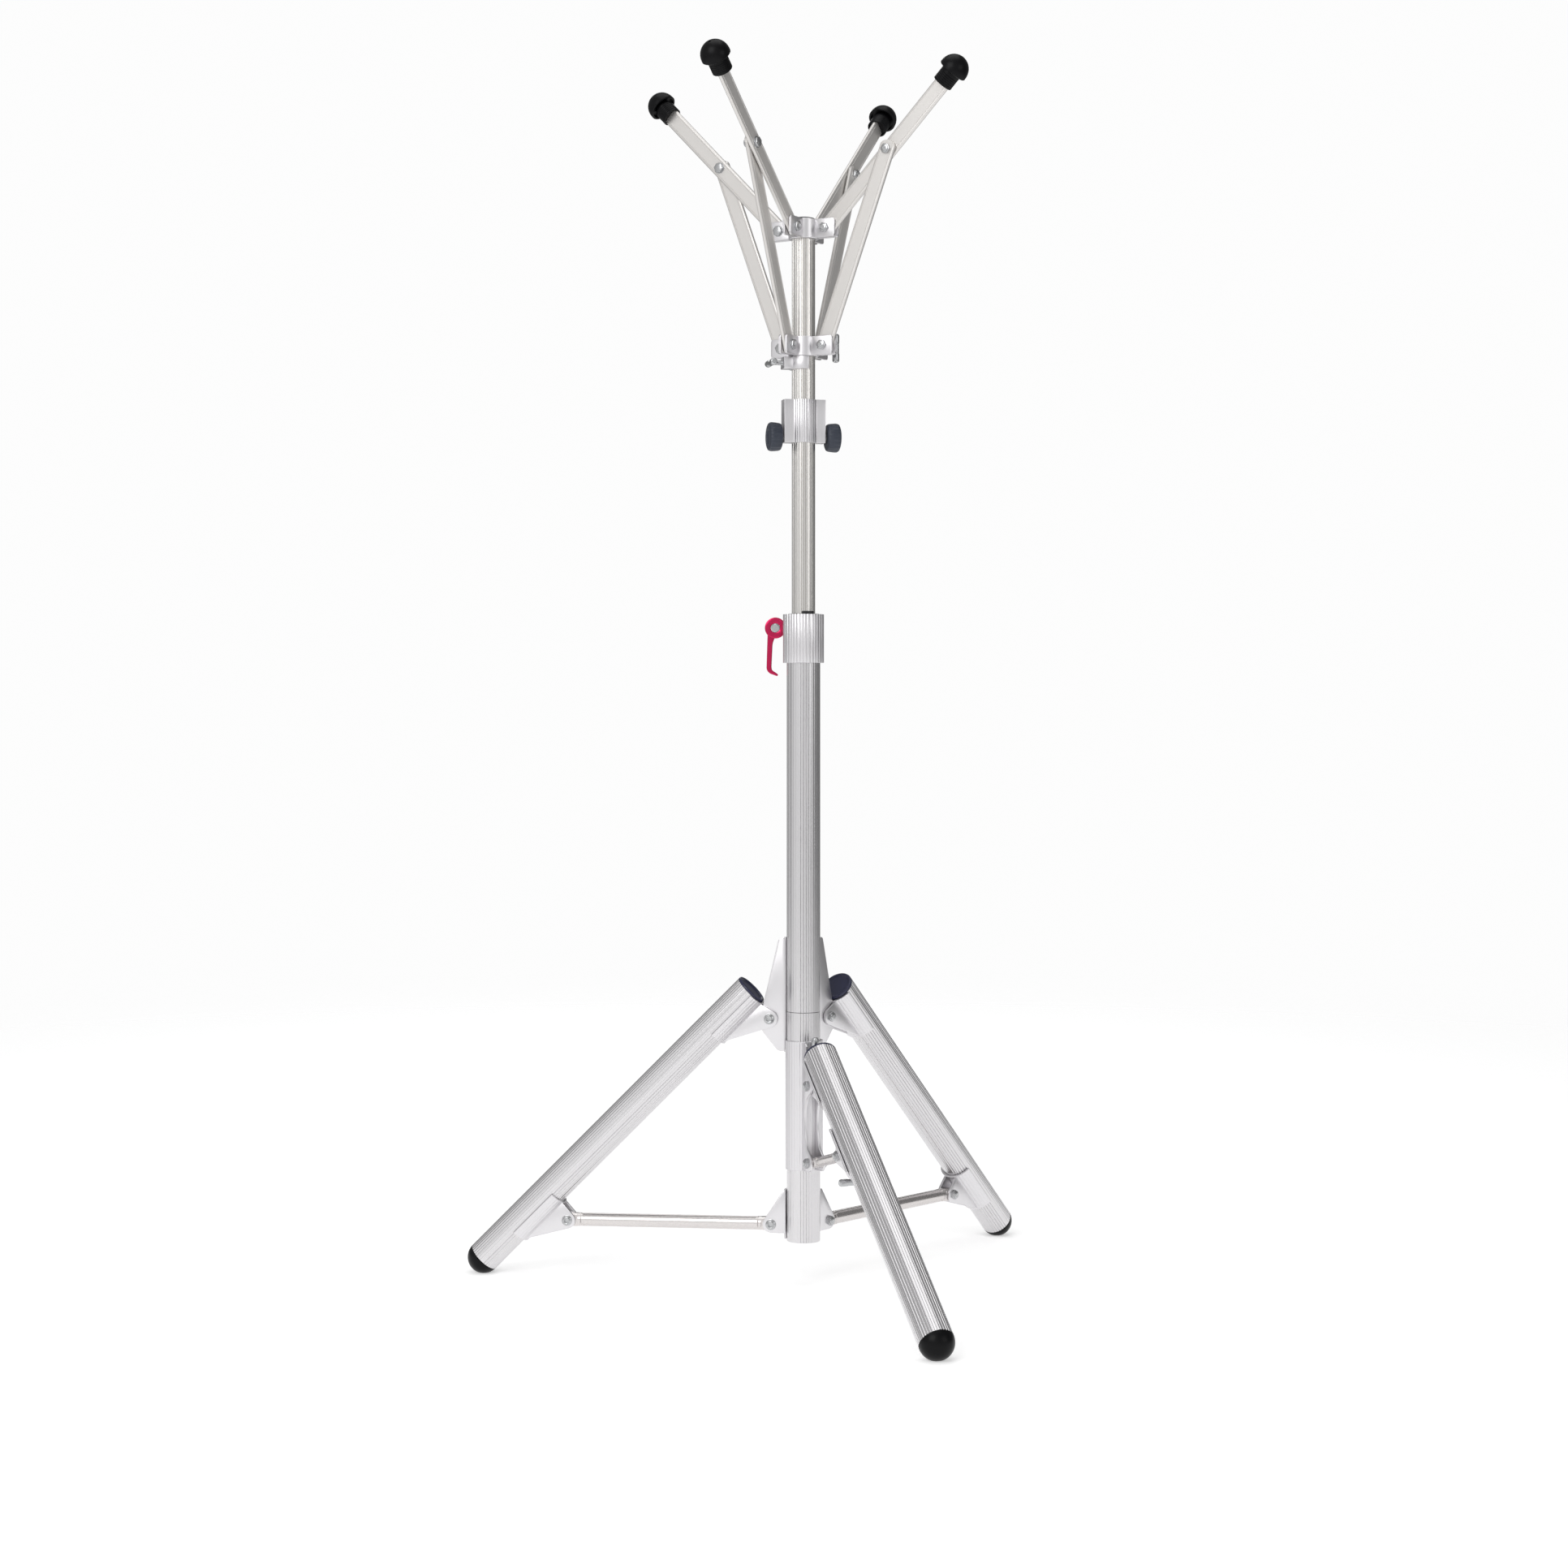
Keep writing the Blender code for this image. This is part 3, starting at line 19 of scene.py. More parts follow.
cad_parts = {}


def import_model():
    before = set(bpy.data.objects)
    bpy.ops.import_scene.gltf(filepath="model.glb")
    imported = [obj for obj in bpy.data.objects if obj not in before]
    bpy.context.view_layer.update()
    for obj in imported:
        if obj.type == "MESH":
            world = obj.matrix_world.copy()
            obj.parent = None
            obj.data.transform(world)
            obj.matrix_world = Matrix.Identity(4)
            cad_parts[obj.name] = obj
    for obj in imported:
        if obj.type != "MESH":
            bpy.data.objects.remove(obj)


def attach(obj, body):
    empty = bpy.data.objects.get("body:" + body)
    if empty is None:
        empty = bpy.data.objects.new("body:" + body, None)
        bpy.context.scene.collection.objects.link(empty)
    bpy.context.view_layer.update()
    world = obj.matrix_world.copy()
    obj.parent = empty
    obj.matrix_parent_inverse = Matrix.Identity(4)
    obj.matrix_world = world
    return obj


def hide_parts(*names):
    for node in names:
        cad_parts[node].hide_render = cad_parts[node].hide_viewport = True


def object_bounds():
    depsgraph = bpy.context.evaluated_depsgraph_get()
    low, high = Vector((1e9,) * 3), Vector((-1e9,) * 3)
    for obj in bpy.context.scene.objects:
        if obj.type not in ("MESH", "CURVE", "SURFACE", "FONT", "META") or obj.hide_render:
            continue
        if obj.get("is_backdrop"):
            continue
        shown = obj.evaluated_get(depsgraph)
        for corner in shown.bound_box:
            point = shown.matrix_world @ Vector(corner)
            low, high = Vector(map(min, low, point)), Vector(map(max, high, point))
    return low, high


LOG = logging.getLogger("repair_stand")
MM = 0.001
GRAIN = "grain"
CREASE = math.radians(32)
Point = tuple[float, float]
Number = Union[float, "Signal"]


class Finish(Enum):
    """The finishes that the stand's pieces have."""

    FLUTED = "fluted_aluminium"
    MAST = "fluted_aluminium_inner"
    SATIN = "satin_aluminium"
    ARM = "arm_aluminium"
    STRUT = "strut_aluminium"
    ZINC = "zinc_steel"
    RUBBER = "black_rubber"
    PLASTIC = "black_plastic"
    NAVY = "navy_plastic"
    SLATE = "slate_plastic"
    RED = "red_anodised"


class Bolt(Enum):
    """Kinds of fastener head."""

    BUTTON = "button_head"
    NUT = "lock_nut"
    HEX = "hex_head"


# ------------------------------------------------------------------ nodes


class Signal:
    """A node's output that Python's operators can be applied to."""

    def __init__(self, net: "Net", socket: bpy.types.NodeSocket) -> None:
        """Wrap a socket of a tree.

        Args:
            net: the tree that the socket belongs to.
            socket: the output socket.
        """
        self.net = net
        self.socket = socket

    def __add__(self, other: Number) -> "Signal":
        """Sum."""
        return self.net.maths("ADD", self, other)

    def __radd__(self, other: float) -> "Signal":
        """Sum with a number on the left."""
        return self.net.maths("ADD", other, self)

    def __sub__(self, other: Number) -> "Signal":
        """Difference."""
        return self.net.maths("SUBTRACT", self, other)

    def __rsub__(self, other: float) -> "Signal":
        """Difference from a number on the left."""
        return self.net.maths("SUBTRACT", other, self)

    def __mul__(self, other: Number) -> "Signal":
        """Product."""
        return self.net.maths("MULTIPLY", self, other)

    def __rmul__(self, other: float) -> "Signal":
        """Product with a number on the left."""
        return self.net.maths("MULTIPLY", other, self)

    def __pow__(self, other: Number) -> "Signal":
        """Power."""
        return self.net.maths("POWER", self, other)

    def __gt__(self, other: Number) -> "Signal":
        """One where this is greater, else zero."""
        return self.net.maths("GREATER_THAN", self, other)

    def __lt__(self, other: Number) -> "Signal":
        """One where this is less, else zero."""
        return self.net.maths("LESS_THAN", self, other)

    def cosine(self) -> "Signal":
        """Cosine of an angle in radians."""
        return self.net.maths("COSINE", self)

    def sine(self) -> "Signal":
        """Sine of an angle in radians."""
        return self.net.maths("SINE", self)

    def at_least(self, other: Number) -> "Signal":
        """The larger of this and another value."""
        return self.net.maths("MAXIMUM", self, other)


class Net:
    """Adds nodes to a shader or geometry tree."""

    def __init__(self, tree: bpy.types.NodeTree) -> None:
        """Wrap a tree.

        Args:
            tree: the node tree to add to.
        """
        self.tree = tree

    def node(self, kind: str, settings: dict[str, Any], inputs: dict[Any, Any]) -> bpy.types.Node:
        """Add a node.

        Args:
            kind: the node's type name.
            settings: attributes to set first, such as a Math node's operation.
            inputs: a value, socket or Signal for each input name or index.

        Returns:
            The new node.
        """
        made = self.tree.nodes.new(kind)
        for name, value in settings.items():
            if name == "stops":
                self._set_stops(made, value)
            else:
                setattr(made, name, value)
        for key, value in inputs.items():
            socket = made.inputs[key]
            if isinstance(value, Signal):
                self.tree.links.new(value.socket, socket)
            elif isinstance(value, bpy.types.NodeSocket):
                self.tree.links.new(value, socket)
            else:
                socket.default_value = value
        return made

    def _set_stops(self, ramp: bpy.types.Node, stops: Sequence[tuple[float, float]]) -> None:
        """Give a Color Ramp grey stops.

        Args:
            ramp: the Color Ramp node.
            stops: (position, grey level) pairs, the first two replacing its own.
        """
        elements = ramp.color_ramp.elements
        while len(elements) < len(stops):
            elements.new(0.5)
        for element, (position, grey) in zip(elements, stops):
            element.position = position
            element.color = (grey, grey, grey, 1)

    def out(self, node: bpy.types.Node, key: Any = 0) -> Signal:
        """One of a node's outputs as a Signal."""
        return Signal(self, node.outputs[key])

    def maths(self, operation: str, first: Number, second: Number = 0.0) -> Signal:
        """Add a Math node.

        Args:
            operation: the node's operation.
            first: its first input.
            second: its second input, where it has one.

        Returns:
            The node's result.
        """
        made = self.node("ShaderNodeMath", {"operation": operation}, {0: first, 1: second})
        return self.out(made)


# -------------------------------------------------------------- materials


@dataclass(frozen=True)
class Surface:
    """What a finish is made of: its colour, how rough it is and what it shows up close.

    Attributes:
        colour: base colour, linear.
        roughness: mean roughness.
        metallic: 1 for metal.
        streak: how much the drawn grain changes the roughness.
        fine: grain scale across and along the piece, per metre.
        bump: depth of the fine relief in metres.
        mottle: how much the colour varies in patches.
        tint: colour of those patches.
        coat: weight of the clear layer.
        gleam: specular level of a finish that isn't metal.
    """

    colour: tuple[float, float, float]
    roughness: float
    metallic: float
    streak: float = 0.05
    fine: tuple[float, float, float] = (900.0, 900.0, 14.0)
    bump: float = 0.00001
    mottle: float = 0.15
    tint: tuple[float, float, float] = (0.5, 0.5, 0.5)
    coat: float = 0.0
    gleam: float = 0.5

    def build(self, name: str) -> bpy.types.Material:
        """Make the material.

        Args:
            name: its name.

        Returns:
            The material.
        """
        made = bpy.data.materials.new(name)
        made.use_nodes = True
        net = Net(made.node_tree)
        shader = made.node_tree.nodes["Principled BSDF"]
        place = net.node(
            "ShaderNodeAttribute",
            {"attribute_type": "GEOMETRY", "attribute_name": GRAIN},
            {},
        )
        spot = place.outputs["Vector"]
        drawn = self._noise(net, spot, self.fine, 2.0)
        patches = self._noise(net, spot, (38.0, 38.0, 9.0), 3.0)
        smudge = self._noise(net, spot, (95.0, 95.0, 60.0), 4.0)
        scratches = self._scratches(net, spot)

        mix = net.node(
            "ShaderNodeMix",
            {"data_type": "RGBA"},
            {0: patches * self.mottle, 6: (*self.colour, 1), 7: (*self.tint, 1)},
        )
        rough = (drawn - 0.5) * self.streak * 2 + self.roughness
        rough = rough + (smudge - 0.5) * self.streak * 1.6 + scratches * 0.08 * self.metallic
        height = drawn * 0.55 + smudge * 0.25 - scratches * 0.4
        bump = net.node(
            "ShaderNodeBump",
            {},
            {"Strength": 0.35, "Distance": self.bump, "Height": height},
        )
        net.tree.links.new(mix.outputs[2], shader.inputs["Base Color"])
        net.tree.links.new(rough.socket, shader.inputs["Roughness"])
        net.tree.links.new(bump.outputs[0], shader.inputs["Normal"])
        shader.inputs["Metallic"].default_value = self.metallic
        shader.inputs["Coat Weight"].default_value = self.coat
        shader.inputs["Specular IOR Level"].default_value = self.gleam
        return made

    def _noise(self, net: Net, spot: Any, scale: tuple[float, ...], detail: float) -> Signal:
        """Noise on a stretched copy of the piece's own coordinates.

        Args:
            net: the material's tree.
            spot: the coordinates' socket.
            scale: cells per metre along each axis.
            detail: how many finer layers it has.

        Returns:
            A value between 0 and 1.
        """
        stretched = net.node("ShaderNodeMapping", {}, {"Vector": spot, "Scale": scale})
        inputs = {"Vector": stretched.outputs[0], "Scale": 1.0, "Detail": detail}
        return net.out(net.node("ShaderNodeTexNoise", {}, inputs))

    def _scratches(self, net: Net, spot: Any) -> Signal:
        """Sparse hairlines along the piece, as from sliding and handling."""
        wander = net.node(
            "ShaderNodeMapping", {}, {"Vector": spot, "Scale": (420.0, 420.0, 5.0)}
        )
        veins = net.node(
            "ShaderNodeTexNoise", {}, {"Vector": wander.outputs[0], "Scale": 1.0, "Detail": 1.0}
        )
        line = net.node(
            "ShaderNodeValToRGB",
            {"stops": ((0.66, 0.0), (0.72, 1.0))},
            {"Fac": net.out(veins)},
        )
        return net.out(line)


SURFACES: dict[Finish, Surface] = {
    Finish.FLUTED: Surface(
        (0.70, 0.69, 0.70),
        0.25,
        1.0,
        0.03,
        fine=(700.0, 700.0, 5.0),
        bump=0.000004,
        tint=(0.60, 0.58, 0.605),
        mottle=0.2,
    ),
    Finish.MAST: Surface(
        (0.70, 0.685, 0.665),
        0.24,
        1.0,
        0.03,
        fine=(700.0, 700.0, 5.0),
        bump=0.000004,
        tint=(0.58, 0.55, 0.53),
        mottle=0.2,
    ),
    Finish.SATIN: Surface(
        (0.74, 0.73, 0.745), 0.33, 1.0, 0.06, tint=(0.66, 0.64, 0.66), mottle=0.3
    ),
    Finish.ARM: Surface(
        (0.70, 0.68, 0.66), 0.36, 0.65, 0.05, tint=(0.60, 0.575, 0.55), mottle=0.25
    ),
    Finish.STRUT: Surface((0.70, 0.67, 0.66), 0.27, 1.0, 0.06, tint=(0.58, 0.55, 0.54), mottle=0.4),
    Finish.ZINC: Surface(
        (0.50, 0.50, 0.50),
        0.26,
        1.0,
        0.08,
        fine=(300.0, 300.0, 300.0),
        tint=(0.48, 0.50, 0.53),
        mottle=0.5,
    ),
    Finish.RUBBER: Surface(
        (0.002, 0.002, 0.0025),
        0.33,
        0.0,
        0.07,
        fine=(1400.0, 1400.0, 1400.0),
        bump=0.00006,
        tint=(0.004, 0.004, 0.005),
        mottle=0.5,
        gleam=0.14,
    ),
    Finish.PLASTIC: Surface(
        (0.008, 0.008, 0.010),
        0.40,
        0.0,
        0.06,
        fine=(1100.0, 1100.0, 1100.0),
        bump=0.00004,
        tint=(0.02, 0.02, 0.022),
        mottle=0.4,
    ),
    Finish.NAVY: Surface(
        (0.012, 0.014, 0.045),
        0.38,
        0.0,
        0.06,
        fine=(1000.0, 1000.0, 1000.0),
        bump=0.00004,
        tint=(0.022, 0.026, 0.07),
        mottle=0.4,
        coat=0.1,
    ),
    Finish.SLATE: Surface(
        (0.018, 0.024, 0.040),
        0.46,
        0.0,
        0.06,
        fine=(1200.0, 1200.0, 1200.0),
        bump=0.00007,
        tint=(0.035, 0.042, 0.060),
        mottle=0.5,
    ),
    Finish.RED: Surface(
        (0.58, 0.02, 0.10),
        0.22,
        1.0,
        0.05,
        fine=(700.0, 700.0, 40.0),
        tint=(0.40, 0.01, 0.05),
        mottle=0.5,
        coat=0.25,
    ),
}


class Workshop:
    """Keeps the materials and turns finished meshes into pieces on the frame."""

    def __init__(self) -> None:
        """Make every finish once."""
        self.materials = {finish: SURFACES[finish].build(finish.value) for finish in Finish}

    def deliver(self, name: str, shape: "Shape", finish: Finish, body: str, *nodes: str) -> Any:
        """Put a shape on a body in place of its CAD nodes.

        Args:
            name: the piece's name.
            shape: its finished mesh, in world coordinates.
            finish: what it is made of.
            body: the body it moves with.
            nodes: CAD nodes that it stands for.

        Returns:
            The piece's object.
        """
        mesh = shape.to_mesh(name)
        mesh.materials.append(self.materials[finish])
        return self.deliver_mesh(name, mesh, finish, body, *nodes)

    def deliver_mesh(
        self, name: str, mesh: bpy.types.Mesh, finish: Finish, body: str, *nodes: str
    ) -> Any:
        """Put a plain mesh on a body.

        Args:
            name: the piece's name.
            mesh: its mesh, in world coordinates, with its material.
            finish: what it is made of.
            body: the body it moves with.
            nodes: CAD nodes that it stands for.

        Returns:
            The piece's object.
        """
        piece = bpy.data.objects.new(name, mesh)
        bpy.context.scene.collection.objects.link(piece)
        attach(piece, body)
        if nodes:
            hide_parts(*nodes)
        LOG.info("%s: %d faces on %s", name, len(mesh.polygons), body)
        return piece


# ---------------------------------------------------------------- shapes


def arc(radius: float, start: float, end: float, steps: int) -> list[Point]:
    """Points on a circle about the origin, both ends included."""
    turns = [start + (end - start) * i / steps for i in range(steps + 1)]
    return [(radius * math.cos(a), radius * math.sin(a)) for a in turns]


def fluted_arc(radius: float, start: float, end: float, depth: float = 0.4 * MM) -> list[Point]:
    """Arc whose radius dips at each of 36 even flutes round a full circle."""
    steps = 8 * max(2, round(abs(end - start) / math.radians(10)))
    points = []
    for i in range(steps + 1):
        a = start + (end - start) * i / steps
        r = radius - depth * max(0.0, math.cos(36 * a)) ** 3
        points.append((r * math.cos(a), r * math.sin(a)))
    return points


def moved(points: Iterable[Point], dx: float, dy: float) -> list[Point]:
    """Flat points shifted."""
    return [(x + dx, y + dy) for x, y in points]


def disc(centre: Point, radius: float, steps: int = 32) -> list[Point]:
    """A full circle of points round a centre."""
    whole = 2 * math.pi
    return moved(arc(radius, 0, whole * (steps - 1) / steps, steps - 1), *centre)


def hull(points: Iterable[Point]) -> list[Point]:
    """Convex outline of flat points, anticlockwise."""
    ordered = sorted(set(points))

    def turn(a: Point, b: Point, c: Point) -> float:
        """Positive where the three points turn left."""
        return (b[0] - a[0]) * (c[1] - a[1]) - (b[1] - a[1]) * (c[0] - a[0])

    def chain(run: Iterable[Point]) -> list[Point]:
        """One side of the outline."""
        kept: list[Point] = []
        for p in run:
            while len(kept) > 1 and turn(kept[-2], kept[-1], p) <= 1e-12:
                kept.pop()
            kept.append(p)
        return kept[:-1]

    return chain(ordered) + chain(reversed(ordered))


def rounded(points: Sequence[Point], radius: float, steps: int = 4) -> list[Point]:
    """Outline with its corners rounded off.

    Args:
        points: the corners in order.
        radius: how far from each corner the rounding starts, where there is room.
        steps: segments in each rounding.

    Returns:
        The new outline.
    """
    out: list[Point] = []
    count = len(points)
    for i, corner in enumerate(points):
        c = Vector(corner)
        before = Vector(points[i - 1]) - c
        after = Vector(points[(i + 1) % count]) - c
        reach = min(radius, before.length * 0.45, after.length * 0.45)
        start = c + before.normalized() * reach
        end = c + after.normalized() * reach
        for k in range(steps + 1):
            t = k / steps
            q = start * (1 - t) ** 2 + c * 2 * t * (1 - t) + end * t**2
            out.append((q.x, q.y))
    return out


def frame_at(azimuth: float, radius: float, height: float, tilt: float = 0.0) -> Matrix:
    """Frame on the radial plane at an azimuth: X out, Y tangential, Z tilted outwards."""
    turn = Matrix.Rotation(azimuth, 4, "Z")
    shift = Matrix.Translation((radius, 0, height))
    return turn @ shift @ Matrix.Rotation(tilt, 4, "Y")


UPRIGHT = Matrix.Rotation(math.radians(90), 4, "X")
SIDEWAYS = Matrix.Rotation(math.radians(90), 4, "Y")


class Shape:
    """Closed solids gathered into one mesh, each with the grain of its own frame."""

    def __init__(self) -> None:
        """Start empty."""
        self.mesh = bmesh.new()
        self.mesh.verts.layers.float_vector.new(GRAIN)

    def _add(self, part: bmesh.types.BMesh, matrix: Matrix) -> None:
        """Take over a closed part; the drawn grain runs along its own Z.

        Args:
            part: the part, in its own frame.
            matrix: where it goes.
        """
        bmesh.ops.remove_doubles(part, verts=part.verts, dist=1e-7)
        part.normal_update()
        bmesh.ops.recalc_face_normals(part, faces=part.faces)
        if part.calc_volume(signed=True) < 0:
            bmesh.ops.reverse_faces(part, faces=part.faces)
        layer = part.verts.layers.float_vector.new(GRAIN)
        for vert in part.verts:
            vert[layer] = vert.co
        part.transform(matrix)
        scratch = bpy.data.meshes.new("scratch")
        part.to_mesh(scratch)
        part.free()
        self.mesh.from_mesh(scratch)
        bpy.data.meshes.remove(scratch)

    def prism(
        self,
        outline: Sequence[Point],
        low: float,
        high: float,
        matrix: Matrix = Matrix(),
        edge: float = 0.0,
        segments: int = 2,
    ) -> "Shape":
        """Add an extruded outline with softened edges.

        Args:
            outline: its corners.
            low: where it starts along Z.
            high: where it ends along Z.
            matrix: where it goes.
            edge: width of the softened edges.
            segments: steps across each softened edge.

        Returns:
            This shape.
        """
        part = bmesh.new()
        face = part.faces.new([part.verts.new((x, y, low)) for x, y in outline])
        grown = bmesh.ops.extrude_face_region(part, geom=[face])
        top = [g for g in grown["geom"] if isinstance(g, bmesh.types.BMVert)]
        bmesh.ops.translate(part, vec=(0, 0, high - low), verts=top)
        self._soften(part, edge, segments)
        self._add(part, matrix)
        return self

    def _soften(self, part: bmesh.types.BMesh, edge: float, segments: int) -> None:
        """Round a part's sharp edges.

        Args:
            part: the part.
            edge: width of the rounding, or 0 for none.
            segments: steps across it.
        """
        if not edge:
            return
        part.normal_update()
        bmesh.ops.recalc_face_normals(part, faces=part.faces)
        sharp = [e for e in part.edges if e.is_manifold and e.calc_face_angle() > math.radians(35)]
        bmesh.ops.bevel(
            part,
            geom=sharp,
            offset=edge,
            segments=segments,
            profile=0.5,
            affect="EDGES",
            clamp_overlap=True,
        )

    def lathe(
        self,
        profile: Sequence[Point],
        steps: int = 48,
        matrix: Matrix = Matrix(),
        ripple: Callable[[float, float, float], float] | None = None,
    ) -> "Shape":
        """Add a turned part.

        Args:
            profile: closed (radius, z) outline; radius 0 is on the axis.
            steps: segments round it.
            matrix: where it goes.
            ripple: gives the radius from (radius, z, angle), for flutes or knurls.

        Returns:
            This shape.
        """
        part = bmesh.new()
        rings: list[list[bmesh.types.BMVert]] = []
        for radius, z in profile:
            if radius < 1e-7:
                rings.append([part.verts.new((0, 0, z))])
                continue
            ring = []
            for i in range(steps):
                angle = 2 * math.pi * i / steps
                r = ripple(radius, z, angle) if ripple else radius
                ring.append(part.verts.new((r * math.cos(angle), r * math.sin(angle), z)))
            rings.append(ring)
        for ring, after in zip(rings, rings[1:] + rings[:1]):
            for i in range(steps):
                k = (i + 1) % steps
                corners = {
                    ring[i % len(ring)]: 0,
                    ring[k % len(ring)]: 0,
                    after[k % len(after)]: 0,
                    after[i % len(after)]: 0,
                }
                if len(corners) > 2:
                    part.faces.new(list(corners))
        self._add(part, matrix)
        return self

    def sleeve(
        self,
        outer: Callable[[float], float],
        inner: float,
        low: float,
        high: float,
        angles: Sequence[float],
        matrix: Matrix = Matrix(),
        edge: float = 0.0,
    ) -> "Shape":
        """Add a body with a round bore whose outer radius depends on the angle.

        Args:
            outer: outer radius at an angle.
            inner: bore radius.
            low: where it starts along Z.
            high: where it ends along Z.
            angles: where its outline is sampled.
            matrix: where it goes.
            edge: width of the softened edges.

        Returns:
            This shape.
        """
        part = bmesh.new()
        rings = []
        for radius_of, z in (
            (outer, low),
            (outer, high),
            (lambda _: inner, high),
            (lambda _: inner, low),
        ):
            points = [(radius_of(a) * math.cos(a), radius_of(a) * math.sin(a)) for a in angles]
            rings.append([part.verts.new((x, y, z)) for x, y in points])
        count = len(angles)
        for ring, after in zip(rings, rings[1:] + rings[:1]):
            for i in range(count):
                k = (i + 1) % count
                part.faces.new((ring[i], ring[k], after[k], after[i]))
        self._soften(part, edge, 2)
        self._add(part, matrix)
        return self

    def take(self, mesh: bpy.types.Mesh, matrix: Matrix) -> "Shape":
        """Add a plain closed mesh.

        Args:
            mesh: the mesh, which is used up.
            matrix: where it goes.

        Returns:
            This shape.
        """
        part = bmesh.new()
        part.from_mesh(mesh)
        bpy.data.meshes.remove(mesh)
        old = part.verts.layers.float_vector.get(GRAIN)
        if old:
            part.verts.layers.float_vector.remove(old)
        self._add(part, matrix)
        return self

    def clamp_low(self, height: float) -> "Shape":
        """Flatten whatever lies below a height, as rubber does on a floor."""
        for vert in self.mesh.verts:
            vert.co.z = max(vert.co.z, height)
        return self

    def to_mesh(self, name: str) -> bpy.types.Mesh:
        """Finish the mesh.

        Args:
            name: the mesh's name.

        Returns:
            The mesh, shaded smooth.
        """
        mesh = bpy.data.meshes.new(name)
        self.mesh.to_mesh(mesh)
        self.mesh.free()
        mesh.shade_smooth()
        mesh.set_sharp_from_angle(angle=CREASE)
        return mesh


def boolean(base: bpy.types.Mesh, other: bpy.types.Mesh, operation: str) -> bpy.types.Mesh:
    """Combine two closed meshes.

    Args:
        base: the mesh to change.
        other: the mesh to cut or cross it with.
        operation: DIFFERENCE, INTERSECT or UNION.

    Returns:
        A new mesh; both others are removed.
    """
    pair = [bpy.data.objects.new("work", mesh) for mesh in (base, other)]
    for obj in pair:
        bpy.context.scene.collection.objects.link(obj)
    modifier = pair[0].modifiers.new("cut", "BOOLEAN")
    modifier.operation = operation
    modifier.solver = "EXACT"
    modifier.object = pair[1]
    graph = bpy.context.evaluated_depsgraph_get()
    result = bpy.data.meshes.new_from_object(pair[0].evaluated_get(graph))
    for obj in pair:
        bpy.data.objects.remove(obj)
    for mesh in (base, other):
        bpy.data.meshes.remove(mesh)
    return result


# --------------------------------------------------------- geometry nodes


class Generator:
    """A Geometry Nodes tree with named inputs, whose result is taken as a plain mesh."""

    def __init__(self, name: str, inputs: Sequence[tuple[str, str]]) -> None:
        """Make the tree's frame.

        Args:
            name: the tree's name.
            inputs: (name, socket type) of each input after the geometry.
        """
        self.tree = bpy.data.node_groups.new(name, "GeometryNodeTree")
        self.net = Net(self.tree)
        face = self.tree.interface
        face.new_socket("Geometry", in_out="INPUT", socket_type="NodeSocketGeometry")
        for label, kind in (*inputs, ("Material", "NodeSocketMaterial")):
            face.new_socket(label, in_out="INPUT", socket_type=kind)
        face.new_socket("Geometry", in_out="OUTPUT", socket_type="NodeSocketGeometry")
        self.entry = self.net.node("NodeGroupInput", {}, {})

    def value(self, name: str) -> Signal:
        """One of the tree's inputs."""
        return self.net.out(self.entry, name)

    def close(self, geometry: Signal) -> None:
        """End the tree in realised instances with its material.

        Args:
            geometry: what it has made.
        """
        real = self.net.node("GeometryNodeRealizeInstances", {}, {0: geometry})
        dressed = self.net.node(
            "GeometryNodeSetMaterial",
            {},
            {"Geometry": real.outputs[0], "Material": self.value("Material")},
        )
        self.net.node("NodeGroupOutput", {}, {0: dressed.outputs[0]})

    def run(self, start: bpy.types.Mesh, values: dict[str, Any]) -> bpy.types.Mesh:
        """Evaluate the tree.

        Args:
            start: the mesh it works on, which is used up.
            values: its inputs by name.

        Returns:
            The result as a plain mesh.
        """
        host = bpy.data.objects.new("host", start)
        bpy.context.scene.collection.objects.link(host)
        modifier = host.modifiers.new("make", "NODES")
        modifier.node_group = self.tree
        for item in self.tree.interface.items_tree:
            if item.in_out == "INPUT" and item.name in values:
                modifier[item.identifier] = values[item.name]
        graph = bpy.context.evaluated_depsgraph_get()
        result = bpy.data.meshes.new_from_object(host.evaluated_get(graph))
        bpy.data.objects.remove(host)
        bpy.data.meshes.remove(start)
        return result


